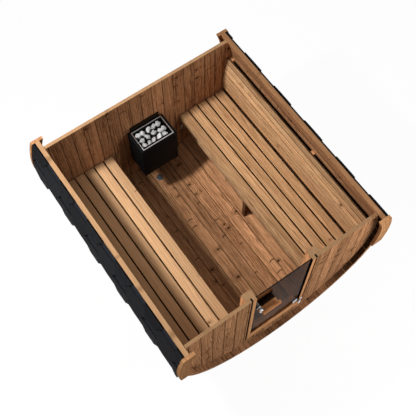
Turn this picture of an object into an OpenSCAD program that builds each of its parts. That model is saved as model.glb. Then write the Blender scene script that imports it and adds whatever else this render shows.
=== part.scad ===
// Barrel sauna, open above a level edge so that the room inside shows.
// The door end faces -Y, +X is to the right seen from the door end, +Z is up.
// The origin lies on the ground under the middle of the barrel. Millimetres.

/* [Barrel] */
// Diameter over the flat outer faces of the staves
barrel_d = 2120; // [2060:10:2240]
// Length of the staves
barrel_l = 2260; // [2100:10:3000]
// Thickness of a stave
stave_t = 42; // [36:1:48]
// Staves that a closed barrel would have
stave_count = 54; // [48:2:60]
// Height of the open edge above the barrel's axis
cut_rise = 350; // [310:5:380]
// Gap between the barrel and the ground
ground_gap = 60; // [50:5:120]
// Bevel along both inner edges of a stave
stave_bevel = 5; // [3:1:7]

/* [Hoops and cradles] */
// Width of a steel hoop
hoop_w = 30; // [20:1:40]
// Thickness of a steel hoop
hoop_t = 1.5; // [1:0.1:2]
// Distance of a hoop from the ends of the staves
hoop_inset = 480; // [330:10:630]
// Length of a cradle across the barrel
cradle_l = 1200; // [1000:10:1400]
// Thickness of a cradle plank
cradle_t = 60; // [50:1:80]
// Height of a cradle at its ends
cradle_h = 190; // [150:5:220]
// Distance of the outer cradles from the ends of the staves
cradle_inset = 230; // [170:10:270]

/* [Fascia and shingles] */
// Width of the curved fascia board
fascia_w = 106; // [90:1:120]
// Thickness of the fascia board
fascia_t = 30; // [20:1:36]
// How far the fascia runs down below the barrel's axis
fascia_drop = 205; // [150:5:260]
// How far the shingles run down below the barrel's axis
shingle_drop = 240; // [200:5:300]
// Thickness of the shingles at the upper edge of a course
shingle_t = 14; // [10:1:18]
// How much thicker a course is at its lower edge
shingle_lift = 28; // [16:1:32]
// Courses of shingles on each side
shingle_courses = 4; // [3:1:6]

/* [End walls] */
// Thickness of the end walls
wall_t = 30; // [24:1:40]
// Width of a wall board
board_w = 117; // [100:1:130]
// Bevel along the edges of a wall board
board_bevel = 4; // [2:1:6]
// Front wall, set back from the ends of the staves
front_inset = 52; // [40:1:60]
// Back wall, set back from the ends of the staves
back_inset = 71; // [50:1:90]

/* [Door] */
// Clear width between the door jambs
door_w = 558; // [520:2:600]
// Face width of a jamb
jamb_w = 34; // [32:1:40]
// Depth of a jamb behind the inner face of the wall
jamb_d = 65; // [50:1:70]
// Width of the jamb's backing strip behind the wall
backing_w = 57; // [50:1:64]
// Open groove between jamb and wall
jamb_groove = 16; // [12:1:20]
// Height of the sill's upper face above the ground
sill_z = 325; // [310:5:345]
// Height of the sill
sill_h = 70; // [60:1:80]
// Thickness of the glass
glass_t = 8; // [6:1:10]
// Play between glass and jamb
glass_play = 5; // [5:0.5:7]
// Play between glass and sill
sill_play = 10; // [6:1:14]
// Glass set back from the face of the jambs
glass_inset = 12; // [10:1:16]

/* [Door fittings] */
// Length of a handle bar
handle_l = 196; // [150:2:220]
// Diameter of a handle bar
handle_d = 28; // [24:1:32]
// Clear space between handle bar and glass
handle_gap = 45; // [35:1:46]
// Height of the handles above the ground
handle_z = 1098; // [1000:2:1200]
// Distance of a handle bar from the free edge of the glass
handle_margin = 38; // [30:1:60]
// Diameter of the round plate under a handle
rosette_d = 48; // [40:1:56]
// Height of the hinge
hinge_h = 70; // [60:1:90]
// Height of the hinge above the lower edge of the glass
hinge_rise = 25; // [15:1:60]

/* [Benches] */
// Depth of the seats below the barrel's axis
seat_drop = 385; // [360:5:410]
// Space between the door jambs and the front edge of a seat
seat_clear = 25; // [15:1:40]
// Space between a seat and the round of the staves
seat_room = 107.5; // [102:0.5:122]
// Slats on each seat
seat_slats = 5; // [4:1:5]
// Gap between seat slats
seat_gap = 12; // [8:1:14]
// Thickness of a seat slat
seat_t = 28; // [22:1:34]
// Height of the apron under the front slat
apron_h = 107; // [80:1:130]
// Thickness of the apron
apron_t = 28; // [22:1:34]
// Height of the cleats on the end walls
cleat_h = 60; // [45:1:75]
// Thickness of cleats, middle supports and ribs
frame_t = 40; // [30:1:48]
// Middle support, set towards the door from the middle
support_shift = 25; // [0:1:60]

/* [Backrests] */
// Slats on each backrest
back_slats = 7; // [5:1:7]
// Width of a backrest slat
back_slat_w = 58; // [50:1:59]
// Gap between backrest slats
back_gap = 6; // [4:0.5:7]
// Thickness of a backrest slat
back_t = 20; // [16:1:24]
// Radius of the backrest's outward curve
back_r = 1090; // [1000:10:1200]
// Space between the curve's foremost point and the round of the staves
back_room = 103; // [98:1:110]
// Height of the curve's foremost point above the seat
back_belly = 135; // [125:1:145]
// Space between the seat and the backrest
back_rise = 35; // [25:1:45]
// How far the middle rib stands from the middle of the barrel, towards the door
rib_shift = 220; // [100:10:300]

/* [Heater] */
// Width of the heater's body
heater_w = 390; // [370:2:420]
// Depth of the heater's body
heater_d = 250; // [242:2:280]
// Height of the heater's body
heater_h = 476; // [420:2:540]
// Height of the heater's underside above the ground
heater_z = 495; // [460:5:560]
// Sheet thickness of the heater's body
heater_sheet = 4; // [2:0.5:5]
// Thickness of the plate between heater and wall
plate_t = 15; // [10:1:20]
// Width of the plate between heater and wall
plate_w = 316; // [260:2:340]
// How far the plate rises above the heater
plate_rise = 49; // [30:1:60]
// Width of the rim frame round the stones
rim_w = 337; // [320:1:350]
// Depth of the rim frame
rim_d = 223; // [210:1:230]
// Width of the rim's bars
rim_bar = 14; // [10:1:18]
// Height of the rim frame
rim_h = 12; // [8:1:16]

/* [Drain and vent] */
// Diameter of the floor drain
drain_d = 70; // [56:1:84]
// Distance of the drain from the back wall
drain_offset = 179; // [120:1:260]
// Diameter of the wall vent
vent_d = 100; // [80:1:110]
// Vent's place outwards from the front edge of the seat
vent_shift = 35; // [25:1:80]
// Vent's depth below the seats
vent_drop = 265; // [240:5:290]

/* [Hidden] */
$fn = 96;
// Facets of the large circles about the barrel's axis
round_fn = 720;
// Cuts run past the faces that they open by this much
overrun = 10;
// Space between pieces that are pushed together
play = 0.4;
// Joint between neighbouring staves or boards
joint_gap = 0.6;
// Space between slats and the walls at their ends
end_play = 5;

r_out = barrel_d / 2;
r_in = r_out - stave_t;
r_mid = r_out - stave_t / 2;
axis_z = ground_gap + r_out;
cut_z = axis_z + cut_rise;
stave_pitch = 360 / stave_count;
r_corner = r_out / cos(stave_pitch / 2);
stave_end = barrel_l / 2;
// The last stave on each side, then the last of the bottom and of the lower group
side_staves = ceil((90 + asin(cut_rise / r_out)) / stave_pitch - 1 / 2);
bottom_share = 0.2;
lower_share = 0.62;
bottom_staves = round(bottom_share * side_staves);
lower_staves = round(lower_share * side_staves);

hoop_r = r_corner + play;
hoop_offset = stave_end - hoop_inset;
cradle_offset = stave_end - cradle_inset;
shingle_r = hoop_r + hoop_t + play;
fascia_r_in = r_mid - fascia_w / 2;
fascia_r_out = r_mid + fascia_w / 2;

wall_r = r_in - play;
front_out = front_inset - stave_end;
front_in = front_out + wall_t;
back_out = stave_end - back_inset;
back_in = back_out - wall_t;

door_half = door_w / 2;
jamb_half = door_half + jamb_w;
wall_edge = jamb_half + jamb_groove;
jamb_in = front_in + jamb_d;
base_z = sill_z - sill_h;
glass_half = door_half - glass_play;
glass_out = front_out + glass_inset;
glass_in = glass_out + glass_t;
glass_z = sill_z + sill_play;

bar_r = handle_d / 2;
bar_left = handle_margin - glass_half;
bar_out = glass_out - handle_gap - bar_r;
bar_in = glass_in + handle_gap + bar_r;
rosette_t = 8;
post_r = 10;
post_x = bar_left + post_r + play;

pin_r = 4;
pin_play = 0.08;
knuckle_r = 8;
knuckle_gap = 1;
// Ears of the fixed half as a share of the hinge's height
ear_share = 0.23;
ear_h = ear_share * hinge_h;
hinge_clear = 6;
hinge_z = glass_z + hinge_rise;
hinge_x = door_half;
hinge_y = front_out - hinge_clear - knuckle_r;
clamp_w = 53;
clamp_t = 6;
clamp_inset = 6;
arm_w = 13;
leaf_t = 4;
leaf_w = jamb_w - knuckle_r;

seat_z = axis_z - seat_drop;
seat_under = seat_z - seat_t;
seat_front = jamb_half + backing_w + seat_clear;
seat_w = r_in - seat_room - seat_front;
seat_slat_w = (seat_w - (seat_slats - 1) * seat_gap) / seat_slats;
seat_pitch = seat_slat_w + seat_gap;
support_x = seat_front + apron_t;
back_z = seat_z + back_belly;
back_x = r_in - back_room + back_r;
back_pitch = (back_slat_w + back_gap) * 180 / PI / back_r;
back_first = asin((back_belly - back_rise - back_slat_w / 2) / back_r);
rib_r = back_r - back_t - play;
rib_drop = 15;
rib_toe = 5;
rib_foot = seat_z + back_rise - rib_toe;
rib_top = back_z + back_r * sin((back_slats - 1 / 2) * back_pitch - back_first) - rib_drop;

heater_back = back_in - plate_t;
heater_front = heater_back - heater_d;
heater_top = heater_z + heater_h;
rim_front = heater_front + overrun;
plate_margin = 25;
stone_depth = 90;
stone_rise = 5;

floor_z = axis_z - r_in;
drain_y = back_in - drain_offset;
drain_t = 5;
drain_lip = 8;
vent_x = seat_front + vent_shift;
vent_z = seat_z - vent_drop;
vent_t = 8;
vent_lip = 10;
vent_slot = 6;
vent_slots = 4;

brown = [0.55, 0.36, 0.24];
tan = [0.84, 0.65, 0.44];
black = [0.08, 0.09, 0.1];
silver = [0.78, 0.79, 0.8];
smoke = [0.3, 0.3, 0.33, 0.6];
pebble = [0.75, 0.75, 0.74];

// Block between two corners
module block(low, high) {
    translate(low)
        cube(high - low);
}

// Outline drawn as width and height, stretched along the length of the barrel
module along(y_from, y_to) {
    translate([0, y_to, 0])
        rotate([90, 0, 0])
            linear_extrude(y_to - y_from)
                children();
}

// Round disc about the barrel's axis
module disc(r, y_from, y_to) {
    translate([0, y_to, axis_z])
        rotate([90, 0, 0])
            cylinder(r = r, h = y_to - y_from, $fn = round_fn);
}

// Everything above the open edge
module above_cut() {
    block([-barrel_d, -barrel_l, cut_z], [barrel_d, barrel_l, cut_z + barrel_d]);
}

// Turns a piece drawn on the right into its twin on the left where asked
module on_side(side) {
    if (side < 0)
        mirror([1, 0, 0])
            children();
    else
        children();
}

// Half the width of a stave at a distance from the axis
function stave_half(r) = r * tan(stave_pitch / 2) - joint_gap / 2;

// Cross-section of one stave: flat outer face, flat inner face, bevelled inner edges
function stave_outline() = [
    [r_in, stave_half(r_in) - stave_bevel],
    [r_in + stave_bevel, stave_half(r_in + stave_bevel)],
    [r_out, stave_half(r_out)],
    [r_out, -stave_half(r_out)],
    [r_in + stave_bevel, -stave_half(r_in + stave_bevel)],
    [r_in, stave_bevel - stave_half(r_in)]
];

// A run of staves, counted from the lowest one upwards on the right
module staves(first, last) {
    for (k = [first : last])
        along(-stave_end, stave_end)
            translate([0, axis_z])
                rotate(k * stave_pitch - 90)
                    polygon(stave_outline());
}

module staves_bottom() {
    color(brown)
        staves(-bottom_staves, bottom_staves);
}

module staves_lower(side) {
    color(brown)
        on_side(side)
            staves(bottom_staves + 1, lower_staves);
}

module staves_upper(side) {
    color(brown)
        on_side(side)
            difference() {
                staves(lower_staves + 1, side_staves);
                above_cut();
            }
}

// Steel bands that draw the staves together
module hoops() {
    color(silver)
        for (y = [-hoop_offset, hoop_offset])
            difference() {
                disc(hoop_r + hoop_t, y - hoop_w / 2, y + hoop_w / 2);
                disc(hoop_r, y - hoop_w, y + hoop_w);
                above_cut();
            }
}

// Plank cut to the curve of the barrel
module cradle(y) {
    color(brown)
        difference() {
            block([-cradle_l / 2, y - cradle_t / 2, 0], [cradle_l / 2, y + cradle_t / 2, cradle_h]);
            disc(hoop_r, y - cradle_t, y + cradle_t);
        }
}

// Curved board over the ends of the staves
module fascia(side, y_from) {
    y_to = y_from + fascia_t;
    color(tan)
        on_side(side)
            difference() {
                disc(fascia_r_out, y_from, y_to);
                disc(fascia_r_in, y_from - overrun, y_to + overrun);
                above_cut();
                block([-barrel_d, y_from - overrun, 0], [barrel_d, y_to + overrun, axis_z - fascia_drop]);
                block([-barrel_d, y_from - overrun, 0], [0, y_to + overrun, cut_z + overrun]);
            }
}

// Saw-tooth section of the shingle courses, from the open edge downwards
shingle_top_a = asin(cut_rise / (r_out + shingle_t)) + stave_pitch / 2;
shingle_low_a = -asin(shingle_drop / shingle_r);
course_a = (shingle_top_a - shingle_low_a) / shingle_courses;
course_steps = 3;
shingle_points = [
    for (course = [0 : shingle_courses - 1])
        for (i = [0 : course_steps])
            let (share = i / course_steps)
            let (a = shingle_top_a - (course + share) * course_a)
            let (r = shingle_r + shingle_t + share * shingle_lift)
            r * [cos(a), sin(a)]
];

module shingles(side) {
    color(black)
        on_side(side)
            difference() {
                along(-stave_end, stave_end)
                    translate([0, axis_z])
                        polygon(concat([[0, 0]], shingle_points));
                disc(shingle_r, -barrel_l, barrel_l);
                above_cut();
            }
}

// One upright wall board seen from above, bevelled on all four edges
module board_outline(x_from, x_to) {
    b = board_bevel;
    polygon([
        [x_from + b, 0], [x_to - b, 0], [x_to, b], [x_to, wall_t - b],
        [x_to - b, wall_t], [x_from + b, wall_t], [x_from, wall_t - b], [x_from, b]
    ]);
}

// Boards of an end wall between two widths, cut to the round of the staves
module boards(x_from, x_to, y_from, z_to) {
    first = floor(x_from / board_w);
    last = ceil(x_to / board_w) - 1;
    for (i = [first : last]) {
        left = max(i * board_w + joint_gap / 2, x_from);
        right = min((i + 1) * board_w - joint_gap / 2, x_to);
        if (right - left > 3 * board_bevel)
            intersection() {
                disc(wall_r, y_from, y_from + wall_t);
                translate([0, y_from, 0])
                    linear_extrude(z_to)
                        board_outline(left, right);
            }
    }
}

module back_wall() {
    color(brown)
        boards(-wall_r, wall_r, back_in, cut_z);
}

module front_wall(side) {
    color(brown)
        on_side(side)
            boards(wall_edge, wall_r, front_out, cut_z);
}

module front_wall_base() {
    edge = wall_edge - joint_gap;
    color(brown)
        boards(-edge, edge, front_out, base_z);
}

// Post beside the door with a strip that backs the wall boards
module door_jamb(side) {
    color(tan)
        on_side(side)
            translate([0, 0, base_z])
                linear_extrude(cut_z - base_z)
                    polygon([
                        [door_half, front_out], [jamb_half, front_out], [jamb_half, front_in],
                        [jamb_half + backing_w, front_in], [jamb_half + backing_w, jamb_in],
                        [door_half, jamb_in]
                    ]);
}

module door_sill() {
    edge = door_half - joint_gap;
    color(tan)
        block([-edge, front_out, base_z], [edge, jamb_in, sill_z]);
}

module door_glass() {
    color(smoke)
        block([-glass_half, glass_out, glass_z], [glass_half, glass_in, cut_z]);
}

// Upright cylinder on the hinge's axis
module on_hinge(r, z_from, z_to) {
    translate([hinge_x, hinge_y, z_from])
        cylinder(r = r, h = z_to - z_from);
}

// Fixed half of the hinge: plate on the jamb, two ears and the pin between them
module hinge_bracket() {
    hinge_top = hinge_z + hinge_h;
    leaf_x = hinge_x + knuckle_r;
    color(silver) {
        block([leaf_x, front_out - leaf_t, hinge_z], [leaf_x + leaf_w, front_out, hinge_top]);
        for (z = [hinge_z, hinge_top - ear_h]) {
            on_hinge(knuckle_r, z, z + ear_h);
            block([hinge_x, hinge_y, z], [hinge_x + knuckle_r + leaf_t, front_out - leaf_t / 2, z + ear_h]);
        }
        on_hinge(pin_r, hinge_z, hinge_top);
    }
}

// Moving half of the hinge: plates on both faces of the glass, an arm and a knuckle
module hinge_clamp() {
    hinge_top = hinge_z + hinge_h;
    low = hinge_z + ear_h + knuckle_gap;
    high = hinge_top - ear_h - knuckle_gap;
    right = glass_half - clamp_inset;
    color(silver) {
        difference() {
            union() {
                block([right - clamp_w, glass_out - clamp_t, hinge_z], [right, glass_out, hinge_top]);
                block([right - arm_w, hinge_y - knuckle_r, low], [right, glass_out, high]);
                block([right - arm_w, hinge_y - knuckle_r, low], [hinge_x, hinge_y, high]);
                on_hinge(knuckle_r, low, high);
            }
            on_hinge(pin_r + pin_play, hinge_z - overrun, hinge_top + overrun);
        }
        block([right - clamp_w, glass_in, hinge_z], [right, glass_in + clamp_t, hinge_top]);
    }
}

// Round wooden bar across the door with a domed free end
module handle_bar(y) {
    color(tan)
        translate([bar_left, y, handle_z]) {
            rotate([0, 90, 0])
                cylinder(r = bar_r, h = handle_l - bar_r);
            translate([handle_l - bar_r, 0, 0])
                sphere(r = bar_r);
        }
}

// Round plate on the glass and a post that reaches the bar
module handle_boss(face, bar_y) {
    toward = face < bar_y ? 1 : -1;
    reach = abs(bar_y - face) - bar_r - pin_play;
    translate([post_x, face, handle_z])
        rotate([-90 * toward, 0, 0]) {
            cylinder(d = rosette_d, h = rosette_t);
            cylinder(r = post_r, h = reach);
        }
}

module handle_bosses() {
    color(silver) {
        handle_boss(glass_out, bar_out);
        handle_boss(glass_in, bar_in);
    }
}

// Boards of a seat with open gaps between them
module bench_seat(side) {
    color(tan)
        on_side(side)
            for (i = [0 : seat_slats - 1])
                let (x = seat_front + i * seat_pitch)
                block([x, front_in + end_play, seat_under], [x + seat_slat_w, back_in - end_play, seat_z]);
}

// Board on edge under the front slat
module bench_apron(side) {
    color(tan)
        on_side(side)
            block([seat_front, front_in, seat_under - apron_h], [support_x, back_in, seat_under]);
}

// Panel in the middle down to the staves, and a cleat on each end wall
module bench_support(side) {
    middle = -support_shift - frame_t / 2;
    color(tan)
        on_side(side)
            for (span = [[middle, axis_z], [front_in, cleat_h], [back_in - frame_t, cleat_h]])
                intersection() {
                    disc(wall_r, span[0], span[0] + frame_t);
                    block([support_x, span[0] - overrun, seat_under - span[1]],
                        [barrel_d, span[0] + frame_t + overrun, seat_under]);
                }
}

// Flat slats set round an outward curve
module backrest(side) {
    color(tan)
        on_side(side)
            for (i = [0 : back_slats - 1])
                along(front_in + end_play, back_in - end_play)
                    translate([back_x, back_z])
                        rotate(180 + back_first - i * back_pitch)
                            translate([back_r - back_t, -back_slat_w / 2])
                                square([back_t, back_slat_w]);
}

// Curved ribs between the backrest and the staves
module backrest_ribs(side) {
    color(tan)
        on_side(side)
            for (y = [front_in + end_play, -rib_shift - frame_t / 2, back_in - end_play - frame_t])
                intersection() {
                    disc(wall_r, y, y + frame_t);
                    translate([back_x, y + frame_t + overrun, back_z])
                        rotate([90, 0, 0])
                            cylinder(r = rib_r, h = frame_t + 2 * overrun, $fn = round_fn);
                    block([0, y - overrun, rib_foot], [barrel_d, y + frame_t + overrun, rib_top]);
                }
}

// Sheet steel box with an opening on top for the stones
module heater_body() {
    s = heater_sheet;
    half = heater_w / 2;
    color(black)
        difference() {
            block([-half, heater_front, heater_z], [half, heater_back, heater_top]);
            block([s - half, heater_front + s, heater_z + s], [half - s, heater_back - s, heater_top - s]);
            block([rim_bar - rim_w / 2, rim_front + rim_bar, heater_top - 2 * s],
                [rim_w / 2 - rim_bar, rim_front + rim_d - rim_bar, heater_top + overrun]);
        }
}

// Plate that holds the heater to the wall
module heater_back_plate() {
    color(black)
        block([-plate_w / 2, heater_back, heater_z + plate_margin],
            [plate_w / 2, back_in, heater_top + plate_rise]);
}

// Bright frame round the stones
module heater_rim() {
    color(silver)
        difference() {
            block([-rim_w / 2, rim_front, heater_top], [rim_w / 2, rim_front + rim_d, heater_top + rim_h]);
            block([rim_bar - rim_w / 2, rim_front + rim_bar, heater_top - overrun],
                [rim_w / 2 - rim_bar, rim_front + rim_d - rim_bar, heater_top + rim_h + overrun]);
        }
}

// Bed of stones in the opening of the box
module heater_stones() {
    inset = rim_bar + play;
    color(pebble)
        block([inset - rim_w / 2, rim_front + inset, heater_top - stone_depth],
            [rim_w / 2 - inset, rim_front + rim_d - inset, heater_top + rim_h + stone_rise]);
}

// Dished strainer on the lowest stave
module floor_drain() {
    color(silver)
        translate([0, drain_y, floor_z])
            difference() {
                cylinder(d = drain_d, h = drain_t);
                translate([0, 0, drain_t / 2])
                    cylinder(d = drain_d - 2 * drain_lip, h = drain_t);
            }
}

// Round louvre low on the back wall
module wall_vent() {
    slot_l = vent_d - 4 * vent_lip;
    color(silver)
        translate([vent_x, back_in, vent_z])
            rotate([90, 0, 0])
                difference() {
                    cylinder(d = vent_d, h = vent_t);
                    for (i = [0 : vent_slots - 1])
                        translate([-slot_l / 2, (2 * i - vent_slots + 1 / 2) * vent_slot, vent_t / 2])
                            cube([slot_l, vent_slot, vent_t]);
                }
}

cradle(-cradle_offset);  // cradle_front
cradle(0);  // cradle_middle
cradle(cradle_offset);  // cradle_back
hoops();
staves_bottom();
staves_lower(-1);  // staves_lower_left
staves_lower(1);  // staves_lower_right
staves_upper(-1);  // staves_upper_left
staves_upper(1);  // staves_upper_right
fascia(-1, -stave_end - fascia_t);  // fascia_front_left
fascia(1, -stave_end - fascia_t);  // fascia_front_right
fascia(-1, stave_end);  // fascia_back_left
fascia(1, stave_end);  // fascia_back_right
shingles(-1);  // shingles_left
shingles(1);  // shingles_right
back_wall();
front_wall(-1);  // front_wall_left
front_wall(1);  // front_wall_right
front_wall_base();
door_jamb(-1);  // door_jamb_left
door_jamb(1);  // door_jamb_right
door_sill();
hinge_bracket();
bench_seat(-1);  // bench_seat_left
bench_seat(1);  // bench_seat_right
bench_apron(-1);  // bench_apron_left
bench_apron(1);  // bench_apron_right
bench_support(-1);  // bench_support_left
bench_support(1);  // bench_support_right
backrest(-1);  // backrest_left
backrest(1);  // backrest_right
backrest_ribs(-1);  // backrest_ribs_left
backrest_ribs(1);  // backrest_ribs_right
heater_body();
heater_rim();
heater_stones();
heater_back_plate();
floor_drain();
wall_vent();
door_glass();
hinge_clamp();
handle_bar(bar_out);  // handle_outer
handle_bar(bar_in);  // handle_inner
handle_bosses();
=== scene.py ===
# %% [markdown]
# # A barrel sauna, cut open
# A barrel sauna is built like a cask. Staves lie side by side, steel hoops draw them together, and a wall of
# upright boards is let in at each end. Here the upper staves are left off at a level edge, so the room shows.
# The lesson starts from the CAD part, which has every board in its place. What is good enough keeps its mesh and
# gets a finish, and what needs softer edges or finer detail is modelled again by hand, fitted to the CAD node
# that it stands for.

import math
import random

import bpy
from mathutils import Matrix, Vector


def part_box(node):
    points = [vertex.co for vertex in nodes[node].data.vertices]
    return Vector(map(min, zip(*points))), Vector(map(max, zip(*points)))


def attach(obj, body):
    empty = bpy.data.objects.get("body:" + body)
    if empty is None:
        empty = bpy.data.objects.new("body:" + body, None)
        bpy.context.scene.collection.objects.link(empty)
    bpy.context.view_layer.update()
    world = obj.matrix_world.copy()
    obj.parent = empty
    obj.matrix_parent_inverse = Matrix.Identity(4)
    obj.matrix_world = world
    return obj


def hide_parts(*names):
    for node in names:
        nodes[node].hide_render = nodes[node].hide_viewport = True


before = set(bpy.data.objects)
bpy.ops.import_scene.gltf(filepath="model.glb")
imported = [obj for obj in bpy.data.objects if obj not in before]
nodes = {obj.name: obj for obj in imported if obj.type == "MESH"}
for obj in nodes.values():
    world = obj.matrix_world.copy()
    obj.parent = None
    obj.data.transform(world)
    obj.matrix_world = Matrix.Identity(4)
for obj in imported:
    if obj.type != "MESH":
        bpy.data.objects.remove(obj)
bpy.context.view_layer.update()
print("CAD nodes:", len(nodes))

# %% [markdown]
# ## Finishes as recipes
# A finish in Blender is a graph: patterns and sums run into one shader. It could be drawn by hand in the Shader
# Editor, or spelled out node by node and link by link. Here a small class stands for the graph, so that a finish
# reads like a recipe. Its two basic steps are to put in a node, and to feed a socket with a number, a colour or
# the outcome of another node.


# %% Nodes and links
class Recipe:
    """The node graph of a material, or of the sky."""

    def __init__(self, owner):
        owner.use_nodes = True
        self.owner = owner
        self.tree = owner.node_tree
        self.tree.nodes.clear()

    def feed(self, socket, value):
        """Link a socket to an outcome, or set it to a number or a colour."""
        if isinstance(value, bpy.types.NodeSocket):
            self.tree.links.new(value, socket)
        else:
            socket.default_value = value

    def put(self, kind, **sockets):
        """Put in a node and feed its sockets by name."""
        made = self.tree.nodes.new("ShaderNode" + kind)
        for name, value in sockets.items():
            self.feed(made.inputs[name.replace("_", " ")], value)
        return made


# %% [markdown]
# ## Sums on a surface
# Boards, knots and joints are found by sums on the place of a point: how far along, how far across, inside or
# outside a limit. Each sum is one Math node. Plain words for them keep the recipes short, and `fit` turns one
# range of numbers into another.


# %% Sums
class Sums(Recipe):
    """Sums that are worked out for every point of a surface."""

    def sum(self, operation, *values):
        made = self.put("Math")
        made.operation = operation
        for socket, value in zip(made.inputs, values):
            self.feed(socket, value)
        return made.outputs[0]

    def times(self, first, *others):
        for other in others:
            first = self.sum("MULTIPLY", first, other)
        return first

    def plus(self, first, *others):
        for other in others:
            first = self.sum("ADD", first, other)
        return first

    def minus(self, a, b):
        return self.sum("SUBTRACT", a, b)

    def over(self, a, b):
        return self.sum("DIVIDE", a, b)

    def above(self, value, limit):
        return self.sum("GREATER_THAN", value, limit)

    def below(self, value, limit):
        return self.sum("LESS_THAN", value, limit)

    def larger(self, a, b):
        return self.sum("MAXIMUM", a, b)

    def size(self, value):
        return self.sum("ABSOLUTE", value)

    def distance(self, a, b):
        return self.sum("SQRT", self.plus(self.times(a, a), self.times(b, b)))

    def fit(self, value, low, high, new_low, new_high):
        made = self.put("MapRange", Value=value, From_Min=low, From_Max=high, To_Min=new_low, To_Max=new_high)
        return made.outputs["Result"]


# %% [markdown]
# ## Patterns, colours and the coat
# All patterns here are procedural and read Object coordinates. An image would need unwrapping and would blur close
# up, while Object coordinates sit still on the sauna, because every finished piece has its origin at the sauna's
# origin. The coat is one Principled shader with a little relief.


# %% A finish
def paint(colour, level=1.0):
    """A colour for a socket, made lighter or darker by a level."""
    return (*(level * v for v in colour), 1.0)


class Finish(Sums):
    """The recipe of one material."""

    def __init__(self, name):
        super().__init__(bpy.data.materials.new(name))

    def place(self):
        return self.put("TexCoord").outputs["Object"]

    def axes(self, point):
        return self.put("SeparateXYZ", Vector=point).outputs

    def point(self, x, y, z):
        return self.put("CombineXYZ", X=x, Y=y, Z=z).outputs[0]

    def cloud(self, point, scale, detail=3.0, roughness=0.55):
        made = self.put("TexNoise", Vector=point, Scale=scale, Detail=detail, Roughness=roughness)
        return made.outputs["Fac"]

    def mix(self, share, a, b, mode="MIX"):
        made = self.put("Mix")
        made.data_type, made.blend_type = "RGBA", mode
        for index, value in ((0, share), (6, a), (7, b)):
            self.feed(made.inputs[index], value)
        return made.outputs[2]

    def toned(self, colour, level):
        """A colour made lighter or darker by an outcome."""
        grey = self.put("CombineColor", Red=level, Green=level, Blue=level).outputs[0]
        return self.mix(1.0, colour, grey, "MULTIPLY")

    def coat(self, colour, roughness, relief=None, strength=0.2, depth=0.002, **more):
        """Close the recipe with a shader, and return the material."""
        shader = self.put("BsdfPrincipled", Base_Color=colour, Roughness=roughness, **more)
        if relief is not None:
            bump = self.put("Bump", Height=relief, Strength=strength, Distance=depth)
            self.feed(shader.inputs["Normal"], bump.outputs["Normal"])
        self.put("OutputMaterial", Surface=shader.outputs[0])
        return self.owner


# %% [markdown]
# ## Timber: one board at a time
# Softwood boards differ from one another, so a timber finish must know which board a point lies on. One material
# for each board would do that too, but there are about a hundred boards. Here each kind of joinery has a function
# that lays its boards: it numbers them and says where a point is across, along and deep in its board. A number
# drawn for each board then slides its pattern, so no two boards are alike.


# %% Boards
class Timber(Finish):
    """A finish that is laid out in boards."""

    def __init__(self, name):
        super().__init__(name)
        self.x, self.y, self.z = self.axes(self.place())
        self.side, self.wide = self.sum("SIGN", self.x), self.size(self.x)
        self.weather, self.joints_and_painted_shade = 1.0, None
        self.calm, self.warm = None, None
        self.paler_behind = False

    def draw_board(self, seed):
        """Draw one number for each board, and slide its pattern by it."""
        drawn = self.put("TexWhiteNoise")
        drawn.noise_dimensions = "1D"
        self.feed(drawn.inputs["W"], self.plus(self.number, seed))
        self.own = drawn.outputs["Value"]
        shift = self.times(self.own, 37.0)
        self.layer = self.plus(shift, self.times(self.depth, 9.0))
        self.slide = self.plus(self.along, shift)

    def stretched(self, across, along):
        """The place on the board, drawn out along the grain."""
        return self.point(self.times(self.across, across), self.times(self.slide, along), self.layer)


# %% [markdown]
# ## Knots
# A knot is the foot of a branch: a dark heart with a halo where the grain swells round it. Sometimes only a bow
# of bent grain shows, where the branch lies just under the surface. Knots could be placed one by one, but boards
# have hundreds. A Voronoi pattern deals out one spot to each cell of a grid that is drawn out along the board, and
# its random colour picks which spots become knots or bows, and their size.

# %% Hearts, halos and bows
KNOTS_ACROSS, KNOTS_ALONG = 5.2, 8.0
BOW_RADIUS, BOW_SHARE = 0.15, 0.55


def mark_bows(wood, beside, past, wobble, picked):
    """Half rings of bent grain round the middle of a cell."""
    ring = wood.plus(wood.distance(beside, past), wood.times(wobble, 0.07))
    ring = wood.fit(wood.size(wood.minus(ring, BOW_RADIUS)), 0.018, 0.07, 0.9, 0.0)
    return wood.times(ring, wood.fit(past, 0.0, 0.1, 0.0, 1.0), picked)


def mark_knots(wood, share):
    """Find hearts, halos and bows for a share of all cells."""
    across, along = wood.times(wood.across, KNOTS_ACROSS), wood.times(wood.slide, KNOTS_ALONG)
    cells = wood.put("TexVoronoi")
    cells.voronoi_dimensions = "2D"
    wood.feed(cells.inputs["Vector"], wood.point(across, along, 0.0))
    wood.feed(cells.inputs["Scale"], 1.0)
    draw, girth, _ = wood.put("SeparateColor", Color=cells.outputs["Color"]).outputs
    wobble = wood.minus(wood.cloud(wood.stretched(30.0, 18.0), 1.0, 2.0), 0.5)
    off = wood.plus(cells.outputs["Distance"], wood.times(wobble, 0.12))
    off = wood.over(off, wood.fit(girth, 0.0, 1.0, 0.45, 1.25))
    chosen = wood.below(draw, share)
    heart = wood.times(wood.fit(off, 0.05, 0.105, 0.92, 0.0), chosen)
    wood.halo = wood.times(wood.fit(off, 0.07, 0.36, 1.0, 0.0), chosen)
    mid_across, mid_along, _ = wood.axes(cells.outputs["Position"])
    beside = wood.minus(across, mid_across)
    past = wood.times(wood.minus(along, mid_along), 1.05)
    picked = wood.above(draw, 1.0 - BOW_SHARE * share)
    wood.knot = wood.larger(heart, mark_bows(wood, beside, past, wobble, picked))


print("a knot cell is", round(1 / KNOTS_ACROSS, 3), "m wide and", round(1 / KNOTS_ALONG, 3), "m along the board")

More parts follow.
